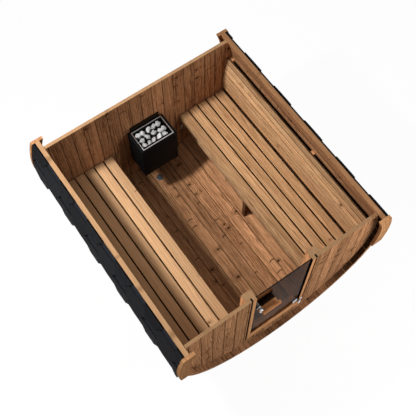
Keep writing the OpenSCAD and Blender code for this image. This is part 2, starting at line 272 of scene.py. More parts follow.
# %% [markdown]
# ## Grain
# Grain is several patterns at once: broad bands, streaks, growth rings, fine fibres and short flecks, all drawn
# out along the board. One stretched noise looks like brushed paint, so five are added up, each with its share. The
# staves and walls are rough-planed with short flecks. Seats and backrests are planed smooth, with finer and longer
# streaks. Where a timber is calm, most of the contrast is taken out again, as on the bleached left bench.

# %% Two kinds of grain
ROUGH_GRAIN = {"streaks": (46.0, 1.3), "flecks": (105.0, 16.0), "shares": (0.45, 0.45, 0.22, 0.12, 0.34)}
FINE_GRAIN = {"streaks": (85.0, 0.6), "flecks": (170.0, 4.0), "shares": (0.25, 0.6, 0.26, 0.13, 0.5)}


def draw_grain(wood, streaks, flecks, shares):
    """Add up the patterns to one tone from 0, dark, to 1, light."""
    broad = wood.cloud(wood.stretched(7.0, 0.55), 1.0, 4.0, 0.6)
    wood.streak = wood.cloud(wood.stretched(*streaks), 1.0, 3.0, 0.6)
    wood.fibre = wood.cloud(wood.stretched(260.0, 7.0), 1.0, 2.0)
    fleck = wood.minus(wood.cloud(wood.stretched(*flecks), 1.0, 2.0, 0.65), 0.5)
    rings = wood.put("TexWave", Scale=22.0, Distortion=2.2, Detail=2.0, Detail_Scale=1.4)
    lines = wood.plus(wood.across, wood.times(broad, 0.16), wood.times(wood.halo, 0.02))
    wood.feed(rings.inputs["Vector"], wood.point(lines, wood.times(wood.slide, 0.05), wood.layer))
    marks = (broad, wood.streak, rings.outputs["Fac"], wood.fibre, fleck)
    tone = wood.plus(*(wood.times(mark, share) for mark, share in zip(marks, shares)))
    wood.tone = wood.fit(tone, 0.43, 0.8, 0.0, 1.0)
    if wood.calm is not None:
        even = wood.minus(0.4, wood.times(wood.tone, 0.6))
        wood.tone = wood.plus(wood.tone, wood.times(wood.calm, even))


print("streaks to a metre:", ROUGH_GRAIN["streaks"][0], "if rough,", FINE_GRAIN["streaks"][0], "if planed")

# %% [markdown]
# ## The sawn top
# All boards end in one saw cut at the open edge. A fresh cut is paler than an oiled face. Along the right side it
# is redder, and darker as painted shade. It could be a material slot for the top faces, but the boards stay whole
# if the finish itself looks at the height of the point.

# %% Saw cut
SAW_HEIGHT = 1.4635
RIGHT_CUT_X, RIGHT_CUT_TINT_AND_SHADE = 0.9, (0.78, 0.68, 0.62)


def saw_top(wood, colour, cut):
    """Swap the colour for that of the saw cut above the height of the cut, and leave no knots there."""
    sawn = wood.above(wood.z, SAW_HEIGHT)
    # Painted shade: the cut along the right side is darker, and also redder.
    red = [tint * v for tint, v in zip(RIGHT_CUT_TINT_AND_SHADE, cut)]
    pale = wood.mix(wood.tone, paint(cut, 0.8), paint(cut))
    right = wood.mix(wood.tone, paint(red, 0.78), paint(red, 1.12))
    pale = wood.mix(wood.above(wood.x, RIGHT_CUT_X), pale, right)
    if wood.paler_behind:
        pale = wood.mix(wood.above(wood.y, 0.0), pale, wood.mix(wood.tone, paint(cut), paint(cut, 1.4)))
    wood.knot = wood.times(wood.knot, wood.minus(1.0, sawn))
    return wood.mix(sawn, colour, pale)


print("saw cut above", SAW_HEIGHT, "m")

# %% [markdown]
# ## From boards to a finish
# The tone picks a colour between dark and light wood. The board's own number makes it lighter or darker, and so
# does its place in the room, which carries painted light and shade. Halos, knots, joints and the painted shade in
# the corners come on top. The streaks also give the relief and the gloss. Specular light is off: oiled softwood
# this rough has no sheen that shows at the scale of a room.


# %% The timber finish
def colour_boards(wood, dark, light, knot, cut):
    """Lay the colours over one another, from the bare board to its joints and painted shade."""
    colour = wood.mix(wood.tone, paint(dark), paint(light))
    colour = wood.toned(colour, wood.times(wood.fit(wood.own, 0.0, 1.0, 0.8, 1.14), wood.weather))
    if cut:
        colour = saw_top(wood, colour, cut)
    colour = wood.mix(wood.times(wood.halo, 0.45), colour, paint(dark, 0.6))
    colour = wood.mix(wood.knot, colour, paint(knot))
    if wood.warm is not None:
        warmer = wood.mix(1.0, colour, paint((1.0, 0.97, 0.92)), "MULTIPLY")
        colour = wood.mix(wood.warm, colour, warmer)
    return colour if wood.joints_and_painted_shade is None else wood.toned(colour, wood.joints_and_painted_shade)


def timber(name, lay, dark, light, knot, seed, knots, grain=ROUGH_GRAIN, cut=None):
    """A material of boards that one of the lay functions sets out."""
    wood = Timber(name)
    lay(wood)
    wood.draw_board(seed)
    mark_knots(wood, knots)
    draw_grain(wood, **grain)
    colour = colour_boards(wood, dark, light, knot, cut)
    relief = wood.plus(wood.times(wood.streak, 0.6), wood.times(wood.fibre, 0.4))
    gloss = wood.fit(wood.streak, 0.3, 0.7, 0.52, 0.7)
    print("timber:", name, "with", len(wood.tree.nodes), "nodes")
    return wood.coat(colour, gloss, relief, 0.25, 0.0015, Specular_IOR_Level=0.0)


# %% [markdown]
# ## Staves
# The staves are oiled red-brown softwood with dark knots, 54 to a full round. The CAD node has each one with its
# bevelled joint, so its mesh stays and only the finish is made. The angle round the barrel's axis gives the number
# of the stave. A dark line at each joint helps the bevel to read. The corners that no lamp reaches, under the
# benches and behind the backrests, are darkened with painted shade.

# %% Joints and shaded corners
AXIS_Z = 1.12
STAVE_PITCH = math.radians(360 / 54)
STAVE_WIDTH = 0.1185
CORNER_SHADE = 0.1


def off_middle(wood, count):
    """How far a point is from the middle of its board, from 0 to 0.5 of the width."""
    return wood.size(wood.minus(wood.sum("FRACT", count), 0.5))


def joint_lines(wood, count):
    """Dark lines between the boards, but not on the sawn top."""
    line = wood.fit(off_middle(wood, count), 0.455, 0.485, 1.0, 0.42)
    return wood.larger(line, wood.above(wood.z, 1.455))


def under_bench(wood):
    """1 under the benches and 0 elsewhere."""
    return wood.times(wood.above(wood.wide, 0.58), wood.below(wood.z, 0.7))


def painted_corner_shade(wood):
    """Painted shade: darker on the inside, under the benches and behind the backrests."""
    behind = wood.times(wood.above(wood.wide, 0.93), wood.below(wood.z, 1.185))
    inside = wood.times(wood.below(wood.depth, 1.035), wood.below(wood.size(wood.y), 1.04))
    corner = wood.times(wood.larger(under_bench(wood), behind), inside)
    return wood.fit(corner, 0.0, 1.0, 1.0, CORNER_SHADE)


print("a stave every", round(math.degrees(STAVE_PITCH), 2), "degrees")

# %% [markdown]
# ## Painted light and shade on the staves
# The floor is painted paler towards the right, lighter inside the left bench's shadow and darker in a band just
# beyond its edge. The inner faces in front of the front wall and along the right edge are painted darker, most of
# all on the right. A painted mask could do this. Here a few ranges across the barrel are enough, tied to the
# boards and not to the camera, so the painted light and shade stays where it is from every side.

# %% Stave finish
INNER_FACE = 1.0205
BROWN_DARK, BROWN_LIGHT, BROWN_KNOT = (0.132, 0.055, 0.024), (0.468, 0.238, 0.116), (0.034, 0.014, 0.0065)
CUT = (0.39, 0.222, 0.112)


def painted_light_on_staves(wood):
    """Painted light and shade on the staves: lighter and darker places."""
    # Painted light and shade on the floor: paler to the right, lighter in the left bench's shadow, darker beyond
    # its edge.
    painted_light_to_right = wood.fit(wood.x, -0.06, 0.33, 0.9, 1.4)
    beside = wood.fit(wood.x, -0.19, -0.11, 1.42, 0.78)
    middle = wood.fit(wood.x, -0.06, 0.02, 1.0, 1.28)
    # Painted shade in front of the front wall and along the right edge.
    inner = wood.below(wood.depth, INNER_FACE)
    front_overhang = wood.times(wood.below(wood.y, -1.078), inner)
    overhang_shade = wood.times(front_overhang, wood.minus(1.0, wood.fit(wood.x, 0.6, 0.85, 0.68, 0.1)))
    right_edge_shade = wood.fit(wood.times(wood.above(wood.x, 0.9), inner), 0.0, 1.0, 1.0, 0.74)
    return wood.times(painted_light_to_right, beside, middle, wood.minus(1.0, overhang_shade), right_edge_shade)


def lay_staves(wood):
    """Number the staves round the barrel's axis."""
    up = wood.minus(wood.z, AXIS_Z)
    turn = wood.over(wood.plus(wood.sum("ARCTAN2", up, wood.x), math.pi / 2), STAVE_PITCH)
    count = wood.plus(turn, 0.5)
    wood.number = wood.sum("FLOOR", count)
    wood.across, wood.along = wood.times(turn, STAVE_WIDTH), wood.y
    wood.depth = wood.distance(up, wood.x)
    wood.joints_and_painted_shade = wood.times(joint_lines(wood, count), painted_corner_shade(wood))
    wood.weather = painted_light_on_staves(wood)


stave_wood = timber("stave_wood", lay_staves, BROWN_DARK, BROWN_LIGHT, BROWN_KNOT, 3.0, 0.3, cut=CUT)


# %% [markdown]
# ## Dressing the CAD nodes
# A CAD node is already a clean mesh in its place. Where boards are plain and their joints are modelled, nothing
# is gained by making them again, so the node only takes a material.


# %% Finish on the staves
def dress(finish, *beginnings):
    """Give a finish to the CAD nodes whose names begin so."""
    chosen = [key for key in nodes if key.startswith(beginnings)]
    for key in chosen:
        nodes[key].data.materials.clear()
        nodes[key].data.materials.append(finish)
    print(finish.name, "on", ", ".join(chosen))


dress(stave_wood, "staves")

# %% [markdown]
# ## End walls
# The end walls are upright boards of the same wood, seen from both sides. The board is found from the place across
# the barrel, and the front and back walls count from different numbers, so that they don't repeat each other. The
# front wall is painted paler, and the back wall darker towards the left, as painted light and shade. Under the
# benches the boards are darkened with painted shade.

# %% Wall finish
WALL_BOARD = 0.117
WALL_CUT = [0.76 * v for v in CUT]


def lay_walls(wood):
    """Number the upright boards of both walls."""
    count = wood.over(wood.x, WALL_BOARD)
    wood.number = wood.plus(wood.sum("FLOOR", count), wood.times(wood.sum("SIGN", wood.y), 31.0))
    wood.across, wood.along, wood.depth = wood.x, wood.z, wood.y
    # Painted shade under the benches, and painted light: the back wall darker to the left, the front wall paler.
    corner = wood.times(under_bench(wood), wood.below(wood.size(wood.y), 1.05))
    wood.joints_and_painted_shade = wood.times(joint_lines(wood, count), wood.fit(corner, 0.0, 1.0, 1.0, CORNER_SHADE))
    back = wood.fit(wood.x, -0.9, 0.3, 0.8, 1.12)
    front = wood.fit(wood.x, -0.6, 0.5, 1.2, 1.27)
    wood.weather = wood.plus(back, wood.times(wood.below(wood.y, 0.0), wood.minus(front, back)))
    wood.paler_behind = True


wall_wood = timber("wall_wood", lay_walls, BROWN_DARK, BROWN_LIGHT, BROWN_KNOT, 11.0, 0.22, cut=WALL_CUT)
dress(wall_wood, "back_wall", "front_wall")

# %% [markdown]
# ## Cradles, supports and ribs
# Cradles carry the barrel, a panel stands under each bench, and upright ribs carry the backrests. They are single
# timbers, so it is enough to say which way the grain runs: along X, Y or Z. The supports stand in the dark under
# the seats, and their wood is painted darker for that shade. The ribs are of the same pale wood as the door posts,
# whose finish is made here.

# %% Single timbers
TRIM_DARK, TRIM_LIGHT, TRIM_KNOT = (0.46, 0.2, 0.083), (0.79, 0.405, 0.187), (0.12, 0.055, 0.025)
CRADLE_DARK, CRADLE_LIGHT = (0.13, 0.062, 0.03), (0.3, 0.16, 0.08)
# The supports' wood is painted darker, as shade under the seats.
SUPPORT_SHADED_DARK, SUPPORT_SHADED_LIGHT = (0.07, 0.03, 0.013), (0.24, 0.12, 0.058)
POST_CUT = [0.8 * v for v in CUT]


def lay_crossways(wood):
    wood.across, wood.along, wood.depth = wood.z, wood.x, wood.y
    wood.number = wood.times(wood.side, 3.0)


def lay_upright(wood):
    wood.across, wood.along, wood.depth = wood.x, wood.z, wood.y
    wood.number = wood.times(wood.side, 3.0)


cradle_wood = timber("cradle_wood", lay_crossways, CRADLE_DARK, CRADLE_LIGHT, BROWN_KNOT, 9.0, 0.4)
support_wood = timber("support_wood", lay_upright, SUPPORT_SHADED_DARK, SUPPORT_SHADED_LIGHT, BROWN_KNOT, 4.0, 0.1)
post_wood = timber("post_wood", lay_upright, TRIM_DARK, TRIM_LIGHT, TRIM_KNOT, 4.0, 0.1, cut=POST_CUT)
dress(cradle_wood, "cradle")
dress(support_wood, "bench_support")
dress(post_wood, "backrest_ribs")

# %% [markdown]
# ## Fascia boards
# Curved boards cover the ends of the staves at the four corners. They are sawn from wide planks, but the eye
# expects the grain to follow the curve, so the place along the board is the angle round the barrel's axis.
# Straight grain would be truer to a sawn plank, but it would fight the curved outline.

# %% Fascia finish
FASCIA_DARK, FASCIA_LIGHT = (0.25, 0.112, 0.047), (0.47, 0.244, 0.112)
FASCIA_RADIUS = 1.04


def lay_fascias(wood):
    """One board for each corner, with the grain round the axis."""
    up = wood.minus(wood.z, AXIS_Z)
    wood.along = wood.times(wood.sum("ARCTAN2", up, wood.wide), FASCIA_RADIUS)
    wood.across, wood.depth = wood.distance(up, wood.x), wood.y
    wood.number = wood.plus(wood.side, wood.sum("SIGN", wood.y))


arc_wood = timber("arc_wood", lay_fascias, FASCIA_DARK, FASCIA_LIGHT, TRIM_KNOT, 2.0, 0.1)
dress(arc_wood, "fascia")

# %% [markdown]
# ## Steel hoops
# The hoops are satin steel bands. Brushed steel has fine scratches in one direction, which spread its highlights.
# An anisotropic shader could do that, but the exported model would lose it, so a noise that is drawn out along one
# axis changes colour, gloss and relief a little.

# %% Brushed steel
ALONG_BRUSH, ACROSS_BRUSH = 6.0, 700.0


def brushed(name, colour, roughness, along):
    """Steel that is brushed along one axis."""
    steel = Finish(name)
    scales = [ALONG_BRUSH if axis == along else ACROSS_BRUSH for axis in "XYZ"]
    drawn_out = [steel.times(v, scale) for v, scale in zip(steel.axes(steel.place()), scales)]
    lines = steel.cloud(steel.point(*drawn_out), 1.0, 2.0)
    colour = steel.mix(lines, paint(colour, 0.82), paint(colour))
    gloss = steel.fit(lines, 0.3, 0.7, roughness - 0.07, roughness + 0.07)
    print("steel:", name)
    return steel.coat(colour, gloss, lines, 0.08, 0.0005, Metallic=1.0)


hoop_steel = brushed("hoop_steel", (0.47, 0.475, 0.48), 0.42, "X")
dress(hoop_steel, "hoops")

# %% [markdown]
# ## The plate behind the heater
# A dark plate keeps the heat off the boards. Enamel, mineral grit and stone are all a mix of two tones by a fine
# grit and broad patches, so one recipe serves them, with its own colours, scale and relief each time. Loose bits
# that are separate islands of one mesh can each get a tone of their own, and the finish can be painted dark below
# a height, as shade.


# %% Speckled finishes
def speckled(name, low, high, scale, roughness, relief, depth, islands=0.0, painted_shade_below=None, **more):
    """Two tones mixed by grit and patches."""
    skin = Finish(name)
    place = skin.place()
    grit = skin.cloud(place, scale, 3.0, 0.7)
    patches = skin.cloud(place, scale * 0.06, 4.0)
    tone = skin.plus(skin.times(grit, 0.6), skin.times(patches, 0.4))
    colour = skin.mix(skin.fit(tone, 0.3, 0.7, 0.0, 1.0), paint(low), paint(high))
    if islands:
        own = skin.put("NewGeometry").outputs["Random Per Island"]
        colour = skin.toned(colour, skin.fit(own, 0.0, 1.0, 1.0 - islands, 1.0 + islands * 0.4))
    # Painted shade: darker below a height.
    if painted_shade_below:
        colour = skin.toned(colour, skin.fit(skin.axes(place)["Z"], *painted_shade_below, 0.02, 1.0))
    print("speckled:", name)
    return skin.coat(colour, roughness, grit, relief, depth, **more)


PLATE_LOW, PLATE_HIGH = (0.009, 0.0055, 0.0035), (0.019, 0.011, 0.007)
plate_brown = speckled("plate_brown", PLATE_LOW, PLATE_HIGH, 300.0, 0.7, 0.08, 0.0004, Specular_IOR_Level=0.05)
dress(plate_brown, "heater_back_plate")

# %% [markdown]
# ## A squared piece of timber
# Most joinery starts as a sawn block. It could be drawn as a profile and extruded, but a cube is quicker: it is
# pulled to size in edit mode, and a bevel eases its edges, because a plane or sandpaper always takes the sharp
# corner off. Operators act on all that is selected, so the bench is cleared before each piece.


# %% Cube to timber
def clear_bench(piece=None):
    """Leave edit mode and select nothing, or only one piece."""
    if bpy.context.object and bpy.context.object.mode != "OBJECT":
        bpy.ops.object.mode_set(mode="OBJECT")
    bpy.ops.object.select_all(action="DESELECT")
    if piece:
        piece.select_set(True)
        bpy.context.view_layer.objects.active = piece


def take_up(piece):
    """Enter edit mode with the whole mesh selected."""
    clear_bench(piece)
    bpy.ops.object.mode_set(mode="EDIT")
    bpy.ops.mesh.select_all(action="SELECT")


def put_down(piece, smooth_below=35):
    """Back to object mode with outward normals, and soft shading across small angles."""
    bpy.ops.mesh.normals_make_consistent(inside=False)
    bpy.ops.object.mode_set(mode="OBJECT")
    bpy.ops.object.shade_smooth_by_angle(angle=math.radians(smooth_below))
    return piece


def squared(name, low, high, eased=0.0, rounds=2):
    """A cube pulled out between two corners, with eased edges."""
    clear_bench()
    bpy.ops.mesh.primitive_cube_add(size=1)
    piece = bpy.context.object
    piece.name = name
    take_up(piece)
    bpy.ops.transform.resize(value=[b - a for a, b in zip(low, high)])
    bpy.ops.transform.translate(value=[(a + b) / 2 for a, b in zip(low, high)])
    if eased:
        bpy.ops.mesh.bevel(offset=eased, segments=rounds, affect="EDGES")
    return put_down(piece)


# %% [markdown]
# ## Rows and twins
# Slats repeat, and the left bench is the right one in a mirror. Copies could be placed one by one. An array
# modifier makes a row in one step, and it is applied so that the piece is plain mesh in the end. A mirrored copy
# has its faces inside out, so its normals are made consistent again.


# %% Repeat and mirror
def settle(piece):
    """Apply every modifier of a piece."""
    clear_bench(piece)
    for modifier in list(piece.modifiers):
        bpy.ops.object.modifier_apply(modifier=modifier.name)
    return piece


def in_a_row(piece, count, step):
    """Repeat a piece in a straight row."""
    array = piece.modifiers.new("row", "ARRAY")
    array.use_relative_offset = False
    array.use_constant_offset = True
    array.constant_offset_displace = step
    array.count = count
    return settle(piece)


def copy_of(piece, name):
    """A copy with a mesh of its own."""
    clear_bench(piece)
    bpy.ops.object.duplicate()
    bpy.context.object.name = name
    return bpy.context.object


def twin(piece, name, mirrored=(True, False, False), centre=(0, 0, 0)):
    """The same piece on the other side of the middle, or of another plane."""
    other = copy_of(piece, name)
    take_up(other)
    bpy.ops.transform.mirror(constraint_axis=mirrored, center_override=centre)
    return put_down(other)


# %% [markdown]
# ## Bench seats
# Each seat has five planed slats with gaps, so that water runs off. One slat is squared, repeated across the
# bench, and mirrored for the other side. Its finish is pale and fine. The bench on the left is bleached evenly,
# and the one on the right is warmer. The right bench is painted a little lighter towards the back, and the sides
# of the gaps between slats are painted dark: painted light and shade.

# %% Seat finish
PALE_DARK, PALE_LIGHT, PALE_KNOT = (0.29, 0.146, 0.064), (0.65, 0.402, 0.218), (0.17, 0.08, 0.034)
SEAT_FRONT, SEAT_STEP = 0.389, 0.1055


def lay_seats(wood):
    """Number the slats from the front edge of each bench."""
    count = wood.over(wood.minus(wood.wide, SEAT_FRONT), SEAT_STEP)
    wood.number = wood.plus(wood.sum("FLOOR", count), wood.times(wood.side, 19.0))
    wood.across, wood.along, wood.depth = wood.x, wood.y, wood.z
    # Painted shade on the sides of the gaps between slats.
    gap = wood.times(wood.below(wood.z, 0.7325), wood.above(wood.wide, 0.397))
    wood.joints_and_painted_shade = wood.fit(gap, 0.0, 1.0, 1.0, 0.05)
    wood.calm, wood.warm = wood.below(wood.x, 0.0), wood.above(wood.x, 0.0)
    # Painted light: the right bench is lighter towards the back.
    lighter = wood.fit(wood.x, 0.42, 0.75, -0.19, 0.2)
    wood.weather = wood.plus(1.0, wood.times(lighter, wood.warm))


seat_wood = timber("seat_wood", lay_seats, PALE_DARK, PALE_LIGHT, PALE_KNOT, 5.0, 0.015, FINE_GRAIN)

# %% [markdown]
# ## Handing a piece over
# A finished piece needs its material, the body that it rides on, the slot that names its kind of surface, and the
# CAD node that it takes the place of. These always come together, so one function takes all four, and gives the
# piece its material and its body and hides the CAD node.


# %% Seat slats
def hand_over(piece, body, slot, material, *stands_for):
    """Give a finished piece its material, its body and the CAD nodes that it stands for."""
    piece.data.materials.clear()
    piece.data.materials.append(material)
    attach(piece, body)
    if stands_for:
        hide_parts(*stands_for)
    print(piece.name, len(piece.data.polygons), "faces")


SEAT_SLATS, SLAT_GAP = 5, 0.012
low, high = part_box("bench_seat_right")
slat_width = (high.x - low.x - (SEAT_SLATS - 1) * SLAT_GAP) / SEAT_SLATS
print("seat slat", round(slat_width, 4), "wide")
seat = squared("seat_right", low, (low.x + slat_width, high.y, high.z), 0.005, 3)
in_a_row(seat, SEAT_SLATS, (slat_width + SLAT_GAP, 0, 0))
seat_left = twin(seat, "seat_left")
hand_over(seat, "sauna", "bench_wood", seat_wood, "bench_seat_right")
hand_over(seat_left, "sauna", "bench_wood", seat_wood, "bench_seat_left")

# %% [markdown]
# ## Aprons
# A board on edge stiffens the front slat of each bench. It is one squared board with its grain along the room,
# made as the slats are, because it was planed on the same machine.


# %% Aprons
def lay_lengthways(wood):
    wood.across, wood.along, wood.depth = wood.x, wood.y, wood.z
    wood.number = wood.times(wood.side, 3.0)


board_wood = timber("board_wood", lay_lengthways, PALE_DARK, PALE_LIGHT, PALE_KNOT, 6.0, 0.015)
apron = squared("apron_right", *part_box("bench_apron_right"), 0.003)
apron_left = twin(apron, "apron_left")
hand_over(apron, "sauna", "bench_wood", board_wood, "bench_apron_right")
hand_over(apron_left, "sauna", "bench_wood", board_wood, "bench_apron_left")

# %% [markdown]
# ## Backrest finish
# The backrest is of narrow slats on a curve that bulges towards the sitter. The finish finds the slat from the
# angle about the centre of that curve, which lies outside the barrel. The slats in the middle are made lighter and
# the top one darker, and the edges of the slats beside the gaps are painted dark: painted shade.

# %% Backrest finish
REST_X, REST_Z, REST_RADIUS = 2.005, 0.87, 1.09
FIRST_SLAT_TURN, SLAT_TURN = 0.0651, 0.0587
REST_DARK, REST_LIGHT = (0.33, 0.17, 0.077), (0.7, 0.448, 0.25)


def lay_backrests(wood):
    """Number the slats up the curve of each backrest."""
    turn = wood.sum("ARCTAN2", wood.minus(wood.z, REST_Z), wood.minus(REST_X, wood.wide))
    count = wood.plus(wood.over(wood.plus(turn, FIRST_SLAT_TURN), SLAT_TURN), 0.5)
    slat = wood.sum("FLOOR", count)
    wood.number = wood.plus(slat, wood.times(wood.side, 23.0))
    wood.across, wood.along, wood.depth = wood.times(turn, REST_RADIUS), wood.y, wood.x
    # Painted shade on the slat edges beside the gaps.
    wood.joints_and_painted_shade = wood.fit(off_middle(wood, count), 0.425, 0.45, 1.0, 0.35)
    bleached, darker = wood.fit(slat, 2.0, 4.0, 1.0, 1.36), wood.fit(slat, 4.0, 6.0, 1.0, 0.54)
    wood.weather = wood.times(bleached, darker)
    wood.warm = wood.above(wood.x, 0.0)


rest_wood = timber("rest_wood", lay_backrests, REST_DARK, REST_LIGHT, PALE_KNOT, 7.0, 0.04, FINE_GRAIN)

# %% [markdown]
# ## Backrest slats
# One slat is squared level with the centre of the curve and copied, and each copy is swung about that centre to
# its place. A curve modifier could bend a row of slats, but it would bend the slats too, and real slats are flat.
# With no window, `transform.rotate` needs its centre given, and a positive turn about Y goes from +X towards +Z.


# %% Slats on the curve
def swing(piece, degrees, centre):
    """Turn a piece about a line along Y through a point."""
    take_up(piece)
    bpy.ops.transform.rotate(value=math.radians(degrees), orient_axis="Y", center_override=centre)
    bpy.ops.object.mode_set(mode="OBJECT")
    return piece


def joined(name, pieces):
    """Several pieces as one mesh."""
    clear_bench()
    for piece in pieces:
        piece.select_set(True)
    bpy.context.view_layer.objects.active = pieces[0]
    if len(pieces) > 1:
        bpy.ops.object.join()
    pieces[0].name = name
    return pieces[0]


REST_SLATS, REST_FACE, SLAT_THICK, SLAT_HALF = 7, 0.915, 0.02, 0.029
REST_STEP, BELOW_CENTRE = 0.064, 0.135 - 0.035 - SLAT_HALF
low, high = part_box("backrest_right")
first_turn = -math.degrees(math.asin(BELOW_CENTRE / REST_RADIUS))
step_turn = math.degrees(REST_STEP / REST_RADIUS)
print("first slat at", round(first_turn, 2), "degrees, then every", round(step_turn, 2))
foot = (REST_FACE, low.y, REST_Z - SLAT_HALF)
head = (REST_FACE + SLAT_THICK, high.y, REST_Z + SLAT_HALF)
slats = [squared("rest_0", foot, head, 0.004)]
slats += [copy_of(slats[0], f"rest_{i}") for i in range(1, REST_SLATS)]
for i, slat in enumerate(slats):
    swing(slat, -(first_turn + i * step_turn), (REST_X, 0, REST_Z))
backrest = joined("backrest_slats_right", slats)
backrest_left = twin(backrest, "backrest_slats_left")
hand_over(backrest, "sauna", "stave_wood", rest_wood, "backrest_right")
hand_over(backrest_left, "sauna", "stave_wood", rest_wood, "backrest_left")

# %% [markdown]
# ## Door posts
# A post stands on each side of the doorway. It has a strip behind the wall boards that the boards are screwed to,
# so a groove shows between post and wall. Post and strip are two squared timbers that overlap by half a
# millimetre. One rebated profile would give the same outline, but its inner corner could not be eased so simply.

# %% Jambs
POST_INNER, POST_OUTER, POST_FRONT, STRIP_FRONT = 0.279, 0.313, -1.078, -1.048
low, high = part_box("door_jamb_right")
post = squared("jamb_front", (POST_INNER, POST_FRONT, low.z), (POST_OUTER, high.y, high.z), 0.002)
strip = squared("jamb_strip", (POST_OUTER - 0.0005, STRIP_FRONT, low.z), high, 0.002)
jamb = joined("jamb_right", [post, strip])
jamb_left = twin(jamb, "jamb_left")
hand_over(jamb, "sauna", "trim_wood", post_wood, "door_jamb_right")
hand_over(jamb_left, "sauna", "trim_wood", post_wood, "door_jamb_left")

# %% [markdown]
# ## Black strips for shade in the groove and the gap
# A thin black strip lies in the groove between post and wall, and another lines the post beside the glass. They
# are painted shade, put where shade falls, and make the groove and the gap beside the pane look black. A dark
# material on the timber would run over its eased edge, so they are thin pieces of their own. The pane's edges, the
# cut edges of the shingles and the lip inside the door take the same black later.

# %% Black strips in groove and gap
EDGE_LOW, EDGE_HIGH = (0.004, 0.004, 0.004), (0.009, 0.009, 0.009)
GROOVE_SHADE_FROM, GROOVE_SHADE_TO = (0.3135, -1.074), (0.3285, -1.0478)
GAP_SHADE_FROM, GAP_SHADE_TO, GAP_SHADE_FOOT = (0.2781, -1.0775), (0.2792, -1.052), 0.3255
edge_black = speckled("edge_black", EDGE_LOW, EDGE_HIGH, 500.0, 0.8, 0.05, 0.0003, Specular_IOR_Level=0.0)
# Black strips as painted shade in the groove and beside the glass.
groove_shade = squared("groove_shade_right", (*GROOVE_SHADE_FROM, low.z + 0.001), (*GROOVE_SHADE_TO, high.z - 0.0015), 0.001, 1)
gap_shade = squared("gap_shade_right", (*GAP_SHADE_FROM, GAP_SHADE_FOOT), (*GAP_SHADE_TO, high.z - 0.001))
groove_shade = joined("groove_shade_right", [groove_shade, gap_shade])
groove_shade_left = twin(groove_shade, "groove_shade_left")
hand_over(groove_shade, "sauna", "shingle", edge_black)
hand_over(groove_shade_left, "sauna", "shingle", edge_black)

# %% [markdown]
# ## Sill
# The sill ties the posts together at the foot of the doorway. It is one squared timber with its grain across the
# barrel. The handles are of the same wood.

# %% Sill
bar_wood = timber("bar_wood", lay_crossways, TRIM_DARK, TRIM_LIGHT, TRIM_KNOT, 8.0, 0.06)
sill = squared("sill", *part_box("door_sill"), 0.003)
hand_over(sill, "sauna", "trim_wood", bar_wood, "door_sill")

# %% [markdown]
# ## Glass door
# The leaf is one pane of smoked, toughened glass with ground edges. Real glass bends light a good deal, but a pane
# has two parallel faces that cancel most of it, and an index close to 1 keeps the room behind the pane where it
# is. The tint does the darkening. Only the two large faces are clear, and the ground edges are dark.

# %% Pane
SMOKE_DARK, SMOKE_LIGHT = (0.122, 0.098, 0.076), (0.15, 0.121, 0.095)
glass = Finish("smoked_glass")
tint = glass.mix(glass.cloud(glass.place(), 3.0, 1.0), paint(SMOKE_DARK), paint(SMOKE_LIGHT))
smoked_glass = glass.coat(tint, 0.0, IOR=1.02, Transmission_Weight=1.0)
pane = squared("pane", *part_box("door_glass"), 0.001, 1)
hand_over(pane, "door", "smoked_glass", smoked_glass, "door_glass")
pane.data.materials.append(edge_black)
for face in pane.data.polygons:
    face.material_index = 0 if abs(face.normal.y) > 0.9 else 1
print("dark edge faces:", sum(face.material_index for face in pane.data.polygons))

# %% [markdown]
# ## Turned pieces
# Handle bars, posts, pins and screws are round, and a nut is a cylinder with six sides. A profile could be spun
# about an axis, but a cylinder with a bevelled rim is the same shape in fewer steps. The rim edges are those whose
# two ends are at the same height, and they are picked before the piece is laid along its axis.


# %% Cylinder to turned piece
def pick_rims(piece):
    """Select the edges that run round the two ends."""
    bpy.ops.mesh.select_all(action="DESELECT")
    bpy.ops.object.mode_set(mode="OBJECT")
    for edge in piece.data.edges:
        a, b = (piece.data.vertices[i].co.z for i in edge.vertices)
        edge.select = abs(a - b) < 1e-6
    bpy.ops.object.mode_set(mode="EDIT")
    bpy.ops.mesh.select_mode(type="EDGE")


def turned(name, radius, start, length, axis, sides=32, eased=0.0, rounds=3):
    """A cylinder along X, Y or Z from a starting point, with eased rims."""
    clear_bench()
    bpy.ops.mesh.primitive_cylinder_add(vertices=sides, radius=radius, depth=length)
    piece = bpy.context.object
    piece.name = name
    take_up(piece)
    if eased:
        pick_rims(piece)
        bpy.ops.mesh.bevel(offset=eased, segments=rounds, affect="EDGES")
        bpy.ops.mesh.select_all(action="SELECT")
    tip_about = {"X": "Y", "Y": "X", "Z": None}[axis]
    if tip_about:
        bpy.ops.transform.rotate(value=math.pi / 2, orient_axis=tip_about, center_override=(0, 0, 0))
    middle = list(start)
    middle["XYZ".index(axis)] += length / 2
    bpy.ops.transform.translate(value=middle)
    return put_down(piece)


# %% [markdown]
# ## Handle bars
# A wooden bar on each face of the glass is the pull, so that no hand touches hot metal. Its ends are rounded off
# almost to a ball, which is a bevel nearly as wide as the bar's radius. One flaw is left in. The outer bar is the
# first piece to be turned, while edit mode still selects by vertex, so the bevel takes all its edges and not only
# the rims. It comes out 37 mm thick where the inner bar has 28 mm, and its faces fold through one another.


# %% Bars
def handle_bar(name, node):
    """A turned bar in the box of its CAD node."""
    low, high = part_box(node)
    radius = (high.z - low.z) / 2
    start = (low.x, (low.y + high.y) / 2, (low.z + high.z) / 2)
    piece = turned(name, radius, start, high.x - low.x, "X", 32, radius * 0.98, 6)
    hand_over(piece, "door", "bench_wood", bar_wood, node)


handle_bar("bar_outer", "handle_outer")
handle_bar("bar_inner", "handle_inner")

